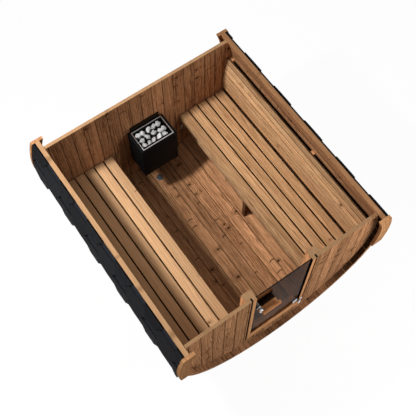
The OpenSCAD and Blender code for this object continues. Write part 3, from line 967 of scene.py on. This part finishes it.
# %% [markdown]
# ## Handle posts and plates
# A round metal post carries each bar, with a plate against the glass that spreads the load. Both are turned, and
# the posts stop at the glass, so that the pane stays whole between them. The inner pair could be turned anew, but
# it is the outer one in a mirror, which stands in the middle of the pane this time.

# %% Posts and plates
FITTING_LOW, FITTING_HIGH = (0.62, 0.63, 0.65), (0.74, 0.75, 0.77)
GLASS_OUTER, GLASS_INNER = -1.066, -1.058
THROUGH_PANE, MID_PANE = (False, True, False), (0, (GLASS_OUTER + GLASS_INNER) / 2, 0)
POST_RADIUS, PLATE_RADIUS, PLATE_THICK = 0.0215, 0.024, 0.008
fitting_metal = speckled("fitting_metal", FITTING_LOW, FITTING_HIGH, 300.0, 0.22, 0.03, 0.0003, Metallic=1.0)
low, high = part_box("handle_bosses")
mid_x, mid_z = (low.x + high.x) / 2, (low.z + high.z) / 2
print("handle posts at", round(mid_x, 3), round(mid_z, 3), "from", round(low.y, 3), "to", round(high.y, 3))
bar_post = turned("bar_post", POST_RADIUS, (mid_x, low.y, mid_z), GLASS_OUTER - low.y, "Y", 48, 0.005)
plate_start = (mid_x, GLASS_OUTER - PLATE_THICK, mid_z)
plate = turned("plate", PLATE_RADIUS, plate_start, PLATE_THICK, "Y", 48, 0.002)
outside = joined("outer_plate", [bar_post, plate])
inside = twin(outside, "inner_plate", THROUGH_PANE, MID_PANE)
hand_over(joined("handle_plates", [outside, inside]), "door", "fitting_metal", fitting_metal, "handle_bosses")

# %% [markdown]
# ## Lips under the finger gaps
# Below the gap between bar and glass runs a thin lip, which stops fingers from slipping down the pane. The outer
# one is wood. The inner one is black, as painted shade for the dark under the inner bar behind the glass. A lip
# could be one piece with its bar, but then both would have to be of one finish, so it is a small squared strip
# between the bar and the glass, with a twin inside.

# %% Lips
LIP_FOOT, LIP_HEAD, LIP_UNDER_BAR, SHORT_LEFT, SHORT_RIGHT = 1.061, 1.068, 0.012, 0.02, 0.012
low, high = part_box("handle_outer")
lip_low = (low.x + SHORT_LEFT, high.y - LIP_UNDER_BAR, LIP_FOOT)
lip_high = (high.x - SHORT_RIGHT, GLASS_OUTER - 0.001, LIP_HEAD)
lip = squared("lip_outer", lip_low, lip_high, 0.002)
lip_inner = twin(lip, "lip_inner", THROUGH_PANE, MID_PANE)
hand_over(lip, "door", "bench_wood", bar_wood)
# The inner lip's black is painted shade.
hand_over(lip_inner, "door", "heater_black", edge_black)

# %% [markdown]
# ## Fixed half of the hinge
# A leaf with two ears and a pin is screwed to the post. It could be cut from one block, but put together from
# squared and turned pieces, as if welded, each part keeps crisp edges of its own. The upper ear is a copy of the
# lower one, and the screws are a row. They are left to this script, since they are too small for the CAD part.

# %% Hinge on the post
PIN_X, PIN_Y, PIN_RADIUS, KNUCKLE_RADIUS, EAR = 0.279, -1.092, 0.004, 0.008, 0.0161
LEAF_INNER, LEAF_FRONT, WEB_INNER, WEB_OUTER, WEB_BACK = 0.287, -1.082, 0.281, 0.291, -1.0795
SCREW_X, SCREW_FROM_END, SCREW_PROUD, SCREW_DEEP = 0.302, 0.014, 0.0015, 0.002


def moved(piece, step):
    """Shift the mesh of a piece, while its origin stays where it is."""
    take_up(piece)
    bpy.ops.transform.translate(value=step)
    bpy.ops.object.mode_set(mode="OBJECT")
    return piece


low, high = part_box("hinge_bracket")
tall = high.z - low.z
leaf = squared("leaf", (LEAF_INNER, LEAF_FRONT, low.z), (high.x, POST_FRONT, high.z), 0.001)
ear = turned("ear", KNUCKLE_RADIUS, (PIN_X, PIN_Y, low.z), EAR, "Z", 32, 0.001)
web = squared("web", (WEB_INNER, PIN_Y, low.z + 0.001), (WEB_OUTER, WEB_BACK, low.z + EAR - 0.001), 0.0008, 1)
lower_ear = joined("lower_ear", [ear, web])
upper_ear = moved(copy_of(lower_ear, "upper_ear"), (0, 0, tall - EAR))
pin = turned("pin", PIN_RADIUS, (PIN_X, PIN_Y, low.z + 0.001), tall - 0.002, "Z", 24)
screw_start = (SCREW_X, LEAF_FRONT - SCREW_PROUD, low.z + SCREW_FROM_END)
screws = turned("screws", 0.0042, screw_start, SCREW_DEEP, "Y", 20, 0.0008)
in_a_row(screws, 3, (0, 0, tall / 2 - SCREW_FROM_END))
hinge_fixed = joined("hinge_fixed", [leaf, lower_ear, upper_ear, pin, screws])
hand_over(hinge_fixed, "sauna", "fitting_metal", fitting_metal, "hinge_bracket")

# %% [markdown]
# ## Moving half of the hinge
# Two plates grip the glass, and an arm leads from the outer one to the knuckle that turns on the pin. It rides on
# the door, so it is one piece with its own body, and it keeps clear of the ears above and below.

# %% Hinge on the glass
GRIP_OUTER, GRIP_FRONT, GRIP_BACK, KNUCKLE_CLEAR, ARM_CLEAR = 0.268, -1.072, -1.052, 0.0172, 0.0175
ARM_INNER, ARM_FRONT, NECK_INNER, NECK_OUTER, NECK_BACK = 0.255, -1.099, 0.258, 0.275, -1.093
GRIP_SCREW_X, GRIP_SCREW_FROM_END = 0.227, 0.015
low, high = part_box("hinge_clamp")
tall = high.z - low.z
arm_low, arm_high = low.z + ARM_CLEAR, high.z - ARM_CLEAR
neck_low = (NECK_INNER, ARM_FRONT - 0.0005, arm_low + 0.0005)
moving = [
    squared("grip_out", (low.x, GRIP_FRONT, low.z), (GRIP_OUTER, GLASS_OUTER, high.z), 0.0015),
    squared("grip_in", (low.x, GLASS_INNER, low.z), (GRIP_OUTER, GRIP_BACK, high.z), 0.0015),
    squared("arm", (ARM_INNER, ARM_FRONT, arm_low), (GRIP_OUTER, GLASS_OUTER - 0.001, arm_high), 0.001, 1),
    squared("neck", neck_low, (NECK_OUTER, NECK_BACK, arm_high - 0.0005), 0.0008, 1),
]
knuckle_start = (PIN_X, PIN_Y, low.z + KNUCKLE_CLEAR)
moving.append(turned("knuckle", KNUCKLE_RADIUS, knuckle_start, tall - 2 * KNUCKLE_CLEAR, "Z", 32, 0.0008))
screw_start = (GRIP_SCREW_X, GRIP_FRONT - SCREW_PROUD, low.z + GRIP_SCREW_FROM_END)
screw = turned("grip_screw", 0.0045, screw_start, SCREW_DEEP, "Y", 20, 0.0008)
screw_steps = ((0, 0, tall - 0.03), (0.023, 0, -0.005), (0.023, 0, tall - 0.025))
moving += [screw] + [moved(copy_of(screw, "grip_screw_copy"), step) for step in screw_steps]
hand_over(joined("hinge_moving", moving), "door", "fitting_metal", fitting_metal, "hinge_clamp")

# %% [markdown]
# ## Heater box
# A sheet steel box in black enamel hangs on the back wall, with its top open for the stones. It could be built
# from five sheets. Pushing in the top face of one block gives the same box with no seams, and the border that is
# left round it carries the frame. The face is picked by the way it looks and by its area.

# %% Box with an open top
ENAMEL_LOW, ENAMEL_HIGH = (0.003, 0.0033, 0.0036), (0.006, 0.0066, 0.0072)


def push_in(piece, facing, border, push):
    """Push in the largest face that looks one way, and leave a border round it."""
    take_up(piece)
    bpy.ops.mesh.select_all(action="DESELECT")
    bpy.ops.object.mode_set(mode="OBJECT")
    seen = [face for face in piece.data.polygons if sum(a * b for a, b in zip(face.normal, facing)) > 0.99]
    max(seen, key=lambda face: face.area).select = True
    bpy.ops.object.mode_set(mode="EDIT")
    bpy.ops.mesh.select_mode(type="FACE")
    bpy.ops.mesh.inset(thickness=border)
    bpy.ops.mesh.extrude_region_move(TRANSFORM_OT_translate={"value": push})
    bpy.ops.mesh.select_all(action="SELECT")
    return put_down(piece)


heater_black = speckled("heater_black", ENAMEL_LOW, ENAMEL_HIGH, 420.0, 0.5, 0.06, 0.0004, Specular_IOR_Level=0.03)
heater = squared("heater_box", *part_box("heater_body"), 0.006, 3)
push_in(heater, (0, 0, 1), 0.033, (0, 0, -0.09))
hand_over(heater, "sauna", "heater_black", heater_black, "heater_body")

# %% [markdown]
# ## Heater frame
# A bright frame of brushed steel runs round the opening. Four bars with mitred ends would be the long way. A flat
# sheet is inset, its middle is taken out, and the ring that is left is raised to its height and eased.

# %% Frame
FRAME_WIDTH = 0.008
rim_steel = brushed("rim_steel", (0.8, 0.805, 0.81), 0.28, "X")
low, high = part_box("heater_rim")
clear_bench()
bpy.ops.mesh.primitive_plane_add(size=1)
rim = bpy.context.object
rim.name = "heater_frame"
take_up(rim)
bpy.ops.transform.resize(value=(high.x - low.x, high.y - low.y, 1))
bpy.ops.transform.translate(value=((low.x + high.x) / 2, (low.y + high.y) / 2, low.z))
bpy.ops.mesh.inset(thickness=FRAME_WIDTH)
bpy.ops.mesh.delete(type="ONLY_FACE")
bpy.ops.mesh.select_all(action="SELECT")
bpy.ops.mesh.extrude_region_move(TRANSFORM_OT_translate={"value": (0, 0, high.z - low.z)})
bpy.ops.mesh.select_all(action="SELECT")
bpy.ops.mesh.bevel(offset=0.002, segments=2, affect="EDGES")
hand_over(put_down(rim), "sauna", "rim_steel", rim_steel, "heater_rim")

# %% [markdown]
# ## A heater stone
# The stones are pale, rounded and all different. Sculpting thirty of them would take long, so each is a ball that
# is stretched and turned by chance, and a Displace modifier with a clouds texture pushes its surface in and out.
# The chance has a fixed seed, so the heap is the same each time. Shadow fills the gaps, so the finish is painted
# dark below the tops of the stones: painted shade.

# %% One stone
STONE_LOW, STONE_HIGH = (0.12, 0.12, 0.118), (0.82, 0.82, 0.81)
STONE_SIZES = ((0.03, 0.038), (0.023, 0.029), (0.022, 0.028))
low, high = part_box("heater_stones")
# Painted shade: the stones go dark below their tops, where shadow fills the gaps.
painted_shade_range = (high.z - 0.052, high.z - 0.024)
stone_grey = speckled("stone_grey", STONE_LOW, STONE_HIGH, 70.0, 0.8, 0.5, 0.004, 0.25, painted_shade_range)
chance = random.Random(7)
clouds = bpy.data.textures.new("stone_clouds", "CLOUDS")
clouds.noise_scale = 0.022


def stone_at(size, x, y, z):
    """A ball that is stretched, turned, put in its place and roughened."""
    clear_bench()
    bpy.ops.mesh.primitive_ico_sphere_add(subdivisions=3, radius=1)
    stone = bpy.context.object
    take_up(stone)
    bpy.ops.transform.resize(value=size)
    bpy.ops.transform.rotate(value=chance.uniform(0, 3), orient_axis="Z", center_override=(0, 0, 0))
    bpy.ops.transform.rotate(value=chance.uniform(-0.4, 0.4), orient_axis="X", center_override=(0, 0, 0))
    bpy.ops.transform.translate(value=(x, y, z + chance.uniform(-0.006, 0.006)))
    bpy.ops.object.mode_set(mode="OBJECT")
    rough = stone.modifiers.new("rough", "DISPLACE")
    rough.texture, rough.texture_coords = clouds, "LOCAL"
    rough.strength, rough.mid_level = 0.034, 0.62
    settle(stone)
    bpy.ops.object.shade_smooth()
    return stone


# %% [markdown]
# ## The heap
# A rigid body simulation could drop the stones into the heater, but its outcome is hard to steer. Two layers of
# loose rows, every other row shifted by half a stone and each stone by chance, look just as casual and stay inside
# the box of the CAD node.

# %% Two layers of stones
STONES_ACROSS, STONES_DEEP, LOOSE = 5, 3, 0.16


def kept_inside(value, start, end, margin):
    return min(max(value, start + margin), end - margin)


heap = []
for layer_z in (high.z - 0.033, high.z - 0.1):
    for i in range(STONES_ACROSS):
        for j in range(STONES_DEEP):
            size = [chance.uniform(*limits) for limits in STONE_SIZES]
            margin = max(size) + 0.001
            u = (i + 0.25 + 0.5 * (j % 2) + chance.uniform(-LOOSE, LOOSE)) / STONES_ACROSS
            v = (j + 0.5 + chance.uniform(-LOOSE, LOOSE)) / STONES_DEEP
            x = kept_inside(low.x + u * (high.x - low.x), low.x, high.x, margin)
            y = kept_inside(low.y + v * (high.y - low.y), low.y, high.y, margin)
            heap.append(stone_at(size, x, y, layer_z))
print("stones:", len(heap))
hand_over(joined("stones", heap), "sauna", "stone", stone_grey, "heater_stones")

# %% [markdown]
# ## A course of shingle tabs
# The outside is dressed with bitumen shingles, laid in courses from the bottom up, each over the head of the one
# below and shifted by half a tab. A relief in the finish would not change the outline, so the tabs are modelled.
# One tab is a slab that narrows and thickens towards its foot, so that its shadow shows. It is made level with the
# barrel's axis, repeated along the barrel, and swung to its course.

# %% Tab and course
TAB_PERIOD, TAB_HEIGHT, TAB_FOOT, TAB_INSIDE, TAB_RADIUS = 0.4345, 0.25, 0.3, 1.0613, 1.0685
TABS = 7
# Angle of the foot in degrees, thickness at the head and thickness at the foot.
COURSES = ((13.6, 0.007, 0.031), (3.1, 0.013, 0.034), (-7.4, 0.02, 0.038), (-12.4, 0.024, 0.036))
axis_point = (0, 0, AXIS_Z)


def pick_foot(tab, beyond):
    """Select the lower corners of a tab that lie beyond a distance from the axis."""
    bpy.ops.mesh.select_all(action="DESELECT")
    bpy.ops.object.mode_set(mode="OBJECT")
    for vertex in tab.data.vertices:
        vertex.select = vertex.co.z < AXIS_Z and vertex.co.x > beyond
    bpy.ops.object.mode_set(mode="EDIT")


def course_of_tabs(number, middle):
    """One course along the barrel, with the middle of its first tab at a place along it."""
    foot, head, butt = COURSES[number]
    middle += TAB_PERIOD / 2 if number % 2 else 0
    half, rise = TAB_PERIOD / 2 - 0.003, TAB_HEIGHT / 2
    tab_low = (TAB_INSIDE, middle - half, AXIS_Z - rise)
    tab = squared("course", tab_low, (TAB_INSIDE + head, middle + half, AXIS_Z + rise))
    take_up(tab)
    pick_foot(tab, 0)
    bpy.ops.transform.resize(value=(1, TAB_FOOT, 1), center_override=(TAB_INSIDE, middle, AXIS_Z))
    pick_foot(tab, TAB_INSIDE + head / 2)
    bpy.ops.transform.translate(value=(butt - head, 0, 0))
    bpy.ops.mesh.select_all(action="SELECT")
    bpy.ops.mesh.bevel(offset=0.0015, segments=1, affect="EDGES")
    bpy.ops.object.mode_set(mode="OBJECT")
    in_a_row(tab, TABS, (0, TAB_PERIOD, 0))
    return swing(tab, foot + math.degrees(rise / TAB_RADIUS), axis_point)


print(len(COURSES), "courses of", TABS, "tabs,", TAB_PERIOD, "m apart")

# %% [markdown]
# ## Both shingled sides
# The rows are longer than the barrel, and a saw would take them off level with the open edge and the ends: a
# bisect with the cut filled does the same. The two sides were laid by hand, so their tabs don't start at the same
# place. The left side is therefore laid on the right with a start of its own, and only its twin is kept. The cut
# edges of the tabs show bare bitumen, so the faces that look along the barrel take the black finish.

# %% Dressed sides
GRIT_LOW, GRIT_HIGH = (0.0022, 0.0023, 0.0027), (0.0125, 0.013, 0.0152)
FIRST_TAB, LEFT_START = -1.4525, -0.145
shingle_grit = speckled("shingle_grit", GRIT_LOW, GRIT_HIGH, 520.0, 0.9, 0.3, 0.001, 0.3, Specular_IOR_Level=0.1)
low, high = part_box("shingles_right")
SAW_CUTS = (((0, 0, high.z), (0, 0, 1)), ((0, high.y, 0), (0, 1, 0)), ((0, low.y, 0), (0, -1, 0)))


def dressed_side(name, middle):
    """All courses of one side, sawn off level with the open edge and the ends."""
    tabs = joined(name, [course_of_tabs(number, middle) for number in range(len(COURSES))])
    take_up(tabs)
    for point, away in SAW_CUTS:
        bpy.ops.mesh.bisect(plane_co=point, plane_no=away, use_fill=True, clear_outer=True)
        bpy.ops.mesh.select_all(action="SELECT")
    return put_down(tabs)


shingles = dressed_side("shingle_tabs_right", FIRST_TAB)
laid_for_left = dressed_side("shingle_tabs_shifted", FIRST_TAB + LEFT_START)
shingles_left = twin(laid_for_left, "shingle_tabs_left")
bpy.data.objects.remove(laid_for_left)
hand_over(shingles, "sauna", "shingle", shingle_grit, "shingles_right")
hand_over(shingles_left, "sauna", "shingle", shingle_grit, "shingles_left")
for tabs in (shingles, shingles_left):
    tabs.data.materials.append(edge_black)
    for face in tabs.data.polygons:
        face.material_index = 1 if abs(face.normal.y) > 0.35 else 0
    print(tabs.name, "cut edges:", sum(face.material_index for face in tabs.data.polygons))

# %% [markdown]
# ## Felt
# Under the shingles lies a sheet of felt that closes the gaps between the tabs. A curved sheet with thickness
# could be a bent grid with a Solidify modifier. Spinning a narrow face about the barrel's axis makes it in one
# step, and the same saw cut levels its top.

# %% Felt
FELT_LOW, FELT_HIGH = (0.004, 0.0044, 0.0056), (0.016, 0.018, 0.024)
FELT_THICK, FELT_FOOT_TURN, FELT_HEAD_TURN = 0.008, -12.4, 21.0
felt_grit = speckled("felt_grit", FELT_LOW, FELT_HIGH, 600.0, 0.9, 0.3, 0.001, Specular_IOR_Level=0.1)
clear_bench()
bpy.ops.mesh.primitive_plane_add(size=1)
felt = bpy.context.object
felt.name = "felt_right"
take_up(felt)
bpy.ops.transform.resize(value=(FELT_THICK, high.y - low.y, 1))
bpy.ops.transform.translate(value=(TAB_RADIUS, (low.y + high.y) / 2, AXIS_Z))
bpy.ops.transform.rotate(value=math.radians(FELT_FOOT_TURN), orient_axis="Y", center_override=axis_point)
felt_turn = math.radians(FELT_HEAD_TURN - FELT_FOOT_TURN)
bpy.ops.mesh.spin(steps=20, angle=felt_turn, center=axis_point, axis=(0, 1, 0))
bpy.ops.mesh.select_all(action="SELECT")
bpy.ops.mesh.bisect(plane_co=(0, 0, high.z), plane_no=(0, 0, 1), use_fill=True, clear_outer=True)
bpy.ops.mesh.select_all(action="SELECT")
felt_left = twin(put_down(felt), "felt_left")
hand_over(felt, "sauna", "shingle", felt_grit)
hand_over(felt_left, "sauna", "shingle", felt_grit)

# %% [markdown]
# ## Floor drain
# A round strainer sits on the lowest stave, where the water runs together: a dished ring with bars across it. The
# dish is a turned disc whose top is pushed in, as on the heater. Holes cut with a boolean would be the other way,
# but bars laid across keep the mesh clean.

# %% Strainer
BARS_EACH_WAY, BAR_HALF = 2, 0.003
drain_steel = brushed("drain_steel", (0.2, 0.225, 0.24), 0.4, "Y")
low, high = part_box("floor_drain")
radius, mid_y = (high.x - low.x) / 2, (low.y + high.y) / 2
hole, bar_step = radius * 0.82, radius * 0.27
print("drain radius", round(radius, 4), "height", round(high.z - low.z, 4))
dish = turned("dish", radius, (0, mid_y, low.z), high.z - low.z, "Z", 48, 0.0015)
strainer = [push_in(dish, (0, 0, 1), radius - hole - 0.001, (0, 0, -0.004))]
for i in range(-BARS_EACH_WAY, BARS_EACH_WAY + 1):
    x, half = i * bar_step, math.sqrt(hole ** 2 - (i * bar_step) ** 2)
    bar_low = (x - BAR_HALF, mid_y - half, high.z - 0.0045)
    bar_high = (x + BAR_HALF, mid_y + half, high.z - 0.0012)
    strainer.append(squared("bar", bar_low, bar_high, 0.001, 1))
hand_over(joined("strainer", strainer), "sauna", "drain_metal", drain_steel, "floor_drain")

# %% [markdown]
# ## Wall vent
# The vent low on the back wall lets fresh air in. It is a turned ring with its face pushed in, and slanted blades
# that end at the ring. Each blade is squared level and then tipped about its own back edge.

# %% Louvre
BLADES_EACH_WAY, BLADE_HALF, BLADE_TIP, RING_WIDTH = 2, 0.006, 28, 0.009
low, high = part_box("wall_vent")
radius = (high.x - low.x) / 2
mid_x, mid_z = (low.x + high.x) / 2, (low.z + high.z) / 2
print("vent radius", round(radius, 4), "depth", round(high.y - low.y, 4))
ring = turned("ring", radius, (mid_x, low.y, mid_z), high.y - low.y, "Y", 48, 0.002)
louvre = [push_in(ring, (0, -1, 0), RING_WIDTH, (0, 0.006, 0))]
for i in range(-BLADES_EACH_WAY, BLADES_EACH_WAY + 1):
    rise = i * radius * 0.33
    level, half = mid_z + rise, math.sqrt((radius - RING_WIDTH) ** 2 - rise ** 2)
    blade_low = (mid_x - half, low.y + 0.001, level - BLADE_HALF)
    blade_high = (mid_x + half, low.y + 0.003, level + BLADE_HALF)
    blade = squared("blade", blade_low, blade_high, 0.0006, 1)
    take_up(blade)
    hinge_line = (mid_x, low.y + 0.003, level)
    bpy.ops.transform.rotate(value=math.radians(BLADE_TIP), orient_axis="X", center_override=hinge_line)
    bpy.ops.object.mode_set(mode="OBJECT")
    louvre.append(blade)
hand_over(joined("louvre", louvre), "sauna", "drain_metal", fitting_metal, "wall_vent")

# %% [markdown]
# ## Hoop lugs
# A bolt between two lugs tightens each hoop. They sit low on the flank, below the shingles. They are small
# fasteners, so the CAD part has none. One lug and one nut are built level with the barrel's axis, where their
# measures are plain to read. Copies of them make the pair, a row of two pairs serves both hoops, and the row is
# then swung down to its place.

# %% Lugs and bolts
HOOP_Y, HOOP_STEP, LUG_TURN = -0.65, 1.3, -34
LUG_INSIDE, LUG_OUTSIDE, LUG_WIDE, LUG_OFF, LUG_HALF = 1.0622, 1.086, 0.014, 0.022, 0.007
BOLT_X, BOLT_RADIUS, BOLT_LENGTH = 1.075, 0.005, 0.104
NUT_RADIUS, NUT_HEIGHT, NUT_OFF = 0.0085, 0.009, 1.9 * LUG_OFF
lug_low = (LUG_INSIDE, HOOP_Y - LUG_WIDE, AXIS_Z + LUG_OFF - LUG_HALF)
lug_high = (LUG_OUTSIDE, HOOP_Y + LUG_WIDE, AXIS_Z + LUG_OFF + LUG_HALF)
nut_start = (BOLT_X, HOOP_Y, AXIS_Z + NUT_OFF - NUT_HEIGHT / 2)
bolt_start = (BOLT_X, HOOP_Y, AXIS_Z - BOLT_LENGTH / 2)
lug = squared("lug", lug_low, lug_high, 0.002)
nut = turned("nut", NUT_RADIUS, nut_start, NUT_HEIGHT, "Z", 6, 0.0008, 1)
lug_below = moved(copy_of(lug, "lug_below"), (0, 0, -2 * LUG_OFF))
nut_below = moved(copy_of(nut, "nut_below"), (0, 0, -2 * NUT_OFF))
bolt = turned("bolt", BOLT_RADIUS, bolt_start, BOLT_LENGTH, "Z", 20, 0.0008, 1)
tighteners = joined("hoop_lugs_right", [lug, nut, lug_below, nut_below, bolt])
in_a_row(tighteners, 2, (0, HOOP_STEP, 0))
swing(tighteners, LUG_TURN, axis_point)
tighteners_left = twin(tighteners, "hoop_lugs_left")
hand_over(tighteners, "sauna", "hoop_steel", hoop_steel)
hand_over(tighteners_left, "sauna", "hoop_steel", hoop_steel)

# %% [markdown]
# ## Studio floor
# The sauna stands on a plain pale floor. A floor lit until it is white would flood the sauna with light from
# below. So the floor glows only for rays that come from the camera, off metal or through glass, keeps a little of
# its shaded paint there for the sauna's shadow, and is a plain grey for all other light.


# %% Floor
def seen_rays(recipe):
    """1 for rays from the camera, off metal or through glass, and 0 for light that falls on the sauna."""
    rays = recipe.put("LightPath").outputs
    seen = recipe.larger(rays["Is Camera Ray"], rays["Is Glossy Ray"])
    return recipe.larger(seen, rays["Is Transmission Ray"])


GLOW_SHARE = 0.95
ground = Finish("studio_floor")
seen = seen_rays(ground)
shaded = ground.put("BsdfDiffuse", Color=ground.mix(seen, paint((0.5, 0.5, 0.5)), paint((0.86, 0.86, 0.86))))
white = ground.put("Emission", Color=paint((1, 1, 1)), Strength=1.0)
both = ground.put("MixShader", Fac=ground.times(seen, GLOW_SHARE))
ground.feed(both.inputs[1], shaded.outputs[0])
ground.feed(both.inputs[2], white.outputs[0])
ground.put("OutputMaterial", Surface=both.outputs[0])
clear_bench()
bpy.ops.mesh.primitive_plane_add(size=60)
floor = bpy.context.object
floor.name = "studio_floor"
floor.data.materials.append(ground.owner)
print("floor", tuple(round(v) for v in floor.dimensions))

# %% [markdown]
# ## Sky
# Soft light comes from all round, more from above than from the horizon, as in a studio with a white ceiling. An
# image of a studio would light it too, but it would be a file from outside. The background itself is plain white
# for the camera, for metal and for glass.

# %% Surroundings
HORIZON_GLOW, ZENITH_GLOW = 0.13, 0.57
sky = Sums(bpy.data.worlds.new("studio"))
height = sky.put("SeparateXYZ", Vector=sky.put("TexCoord").outputs["Generated"]).outputs["Z"]
glow = sky.fit(height, 0.0, 1.0, HORIZON_GLOW, ZENITH_GLOW)
light = sky.put("Background", Color=paint((1, 1, 1)), Strength=sky.larger(glow, seen_rays(sky)))
sky.put("OutputWorld", Surface=light.outputs[0])
bpy.context.scene.world = sky.owner
print("sky from", HORIZON_GLOW, "at the horizon to", ZENITH_GLOW, "above")

# %% [markdown]
# ## Lamps
# A lamp high behind the left side throws the shadows of the heater, the left staves and the left bench into the
# room. A sun lamp would give them hard edges, so it is a round area lamp, small enough for a clear shadow. A
# second, wider and weaker one in front lifts the door wall, which would be in the dark without it.


# %% Key and fill
def soft_lamp(name, at, towards, size, power):
    """A round lamp that looks from one point towards another."""
    clear_bench()
    bpy.ops.object.light_add(type="AREA", location=at)
    lamp = bpy.context.object
    lamp.name = name
    lamp.data.shape, lamp.data.size, lamp.data.energy = "DISK", size, power
    lamp.visible_camera = False
    dx, dy, dz = (b - a for a, b in zip(at, towards))
    lamp.rotation_euler = (math.atan2(math.hypot(dx, dy), -dz), 0, math.atan2(dy, dx) - math.pi / 2)
    print(name, power, "W at", at)


soft_lamp("lamp_key", (-2.33, 1.27, 4.6), (0.0, 0.0, 0.8), 0.38, 222)
soft_lamp("lamp_fill", (1.5, -3.0, 2.3), (0.4, -1.0, 1.0), 1.2, 52)

# %% [markdown]
# ## Camera
# The camera stands high at the front left and looks down into the room, as in the photograph. Its place and angles
# were fitted to the corners and seams of the sauna there. The Standard view keeps colours as they are written.

# %% Camera
CAMERA_PLACE = (-1.6, -2.278, 7.124)
CAMERA_TILT, CAMERA_HEADING = 24.01, -35.29
clear_bench()
camera_turn = (math.radians(CAMERA_TILT), 0, math.radians(CAMERA_HEADING))
bpy.ops.object.camera_add(location=CAMERA_PLACE, rotation=camera_turn)
camera = bpy.context.object
camera.name = "camera"
camera.data.lens, camera.data.sensor_width = 65.1, 36
bpy.context.scene.camera = camera
bpy.context.scene.view_settings.view_transform = "Standard"
print("camera at", CAMERA_PLACE, "with a lens of", round(camera.data.lens, 1), "mm")
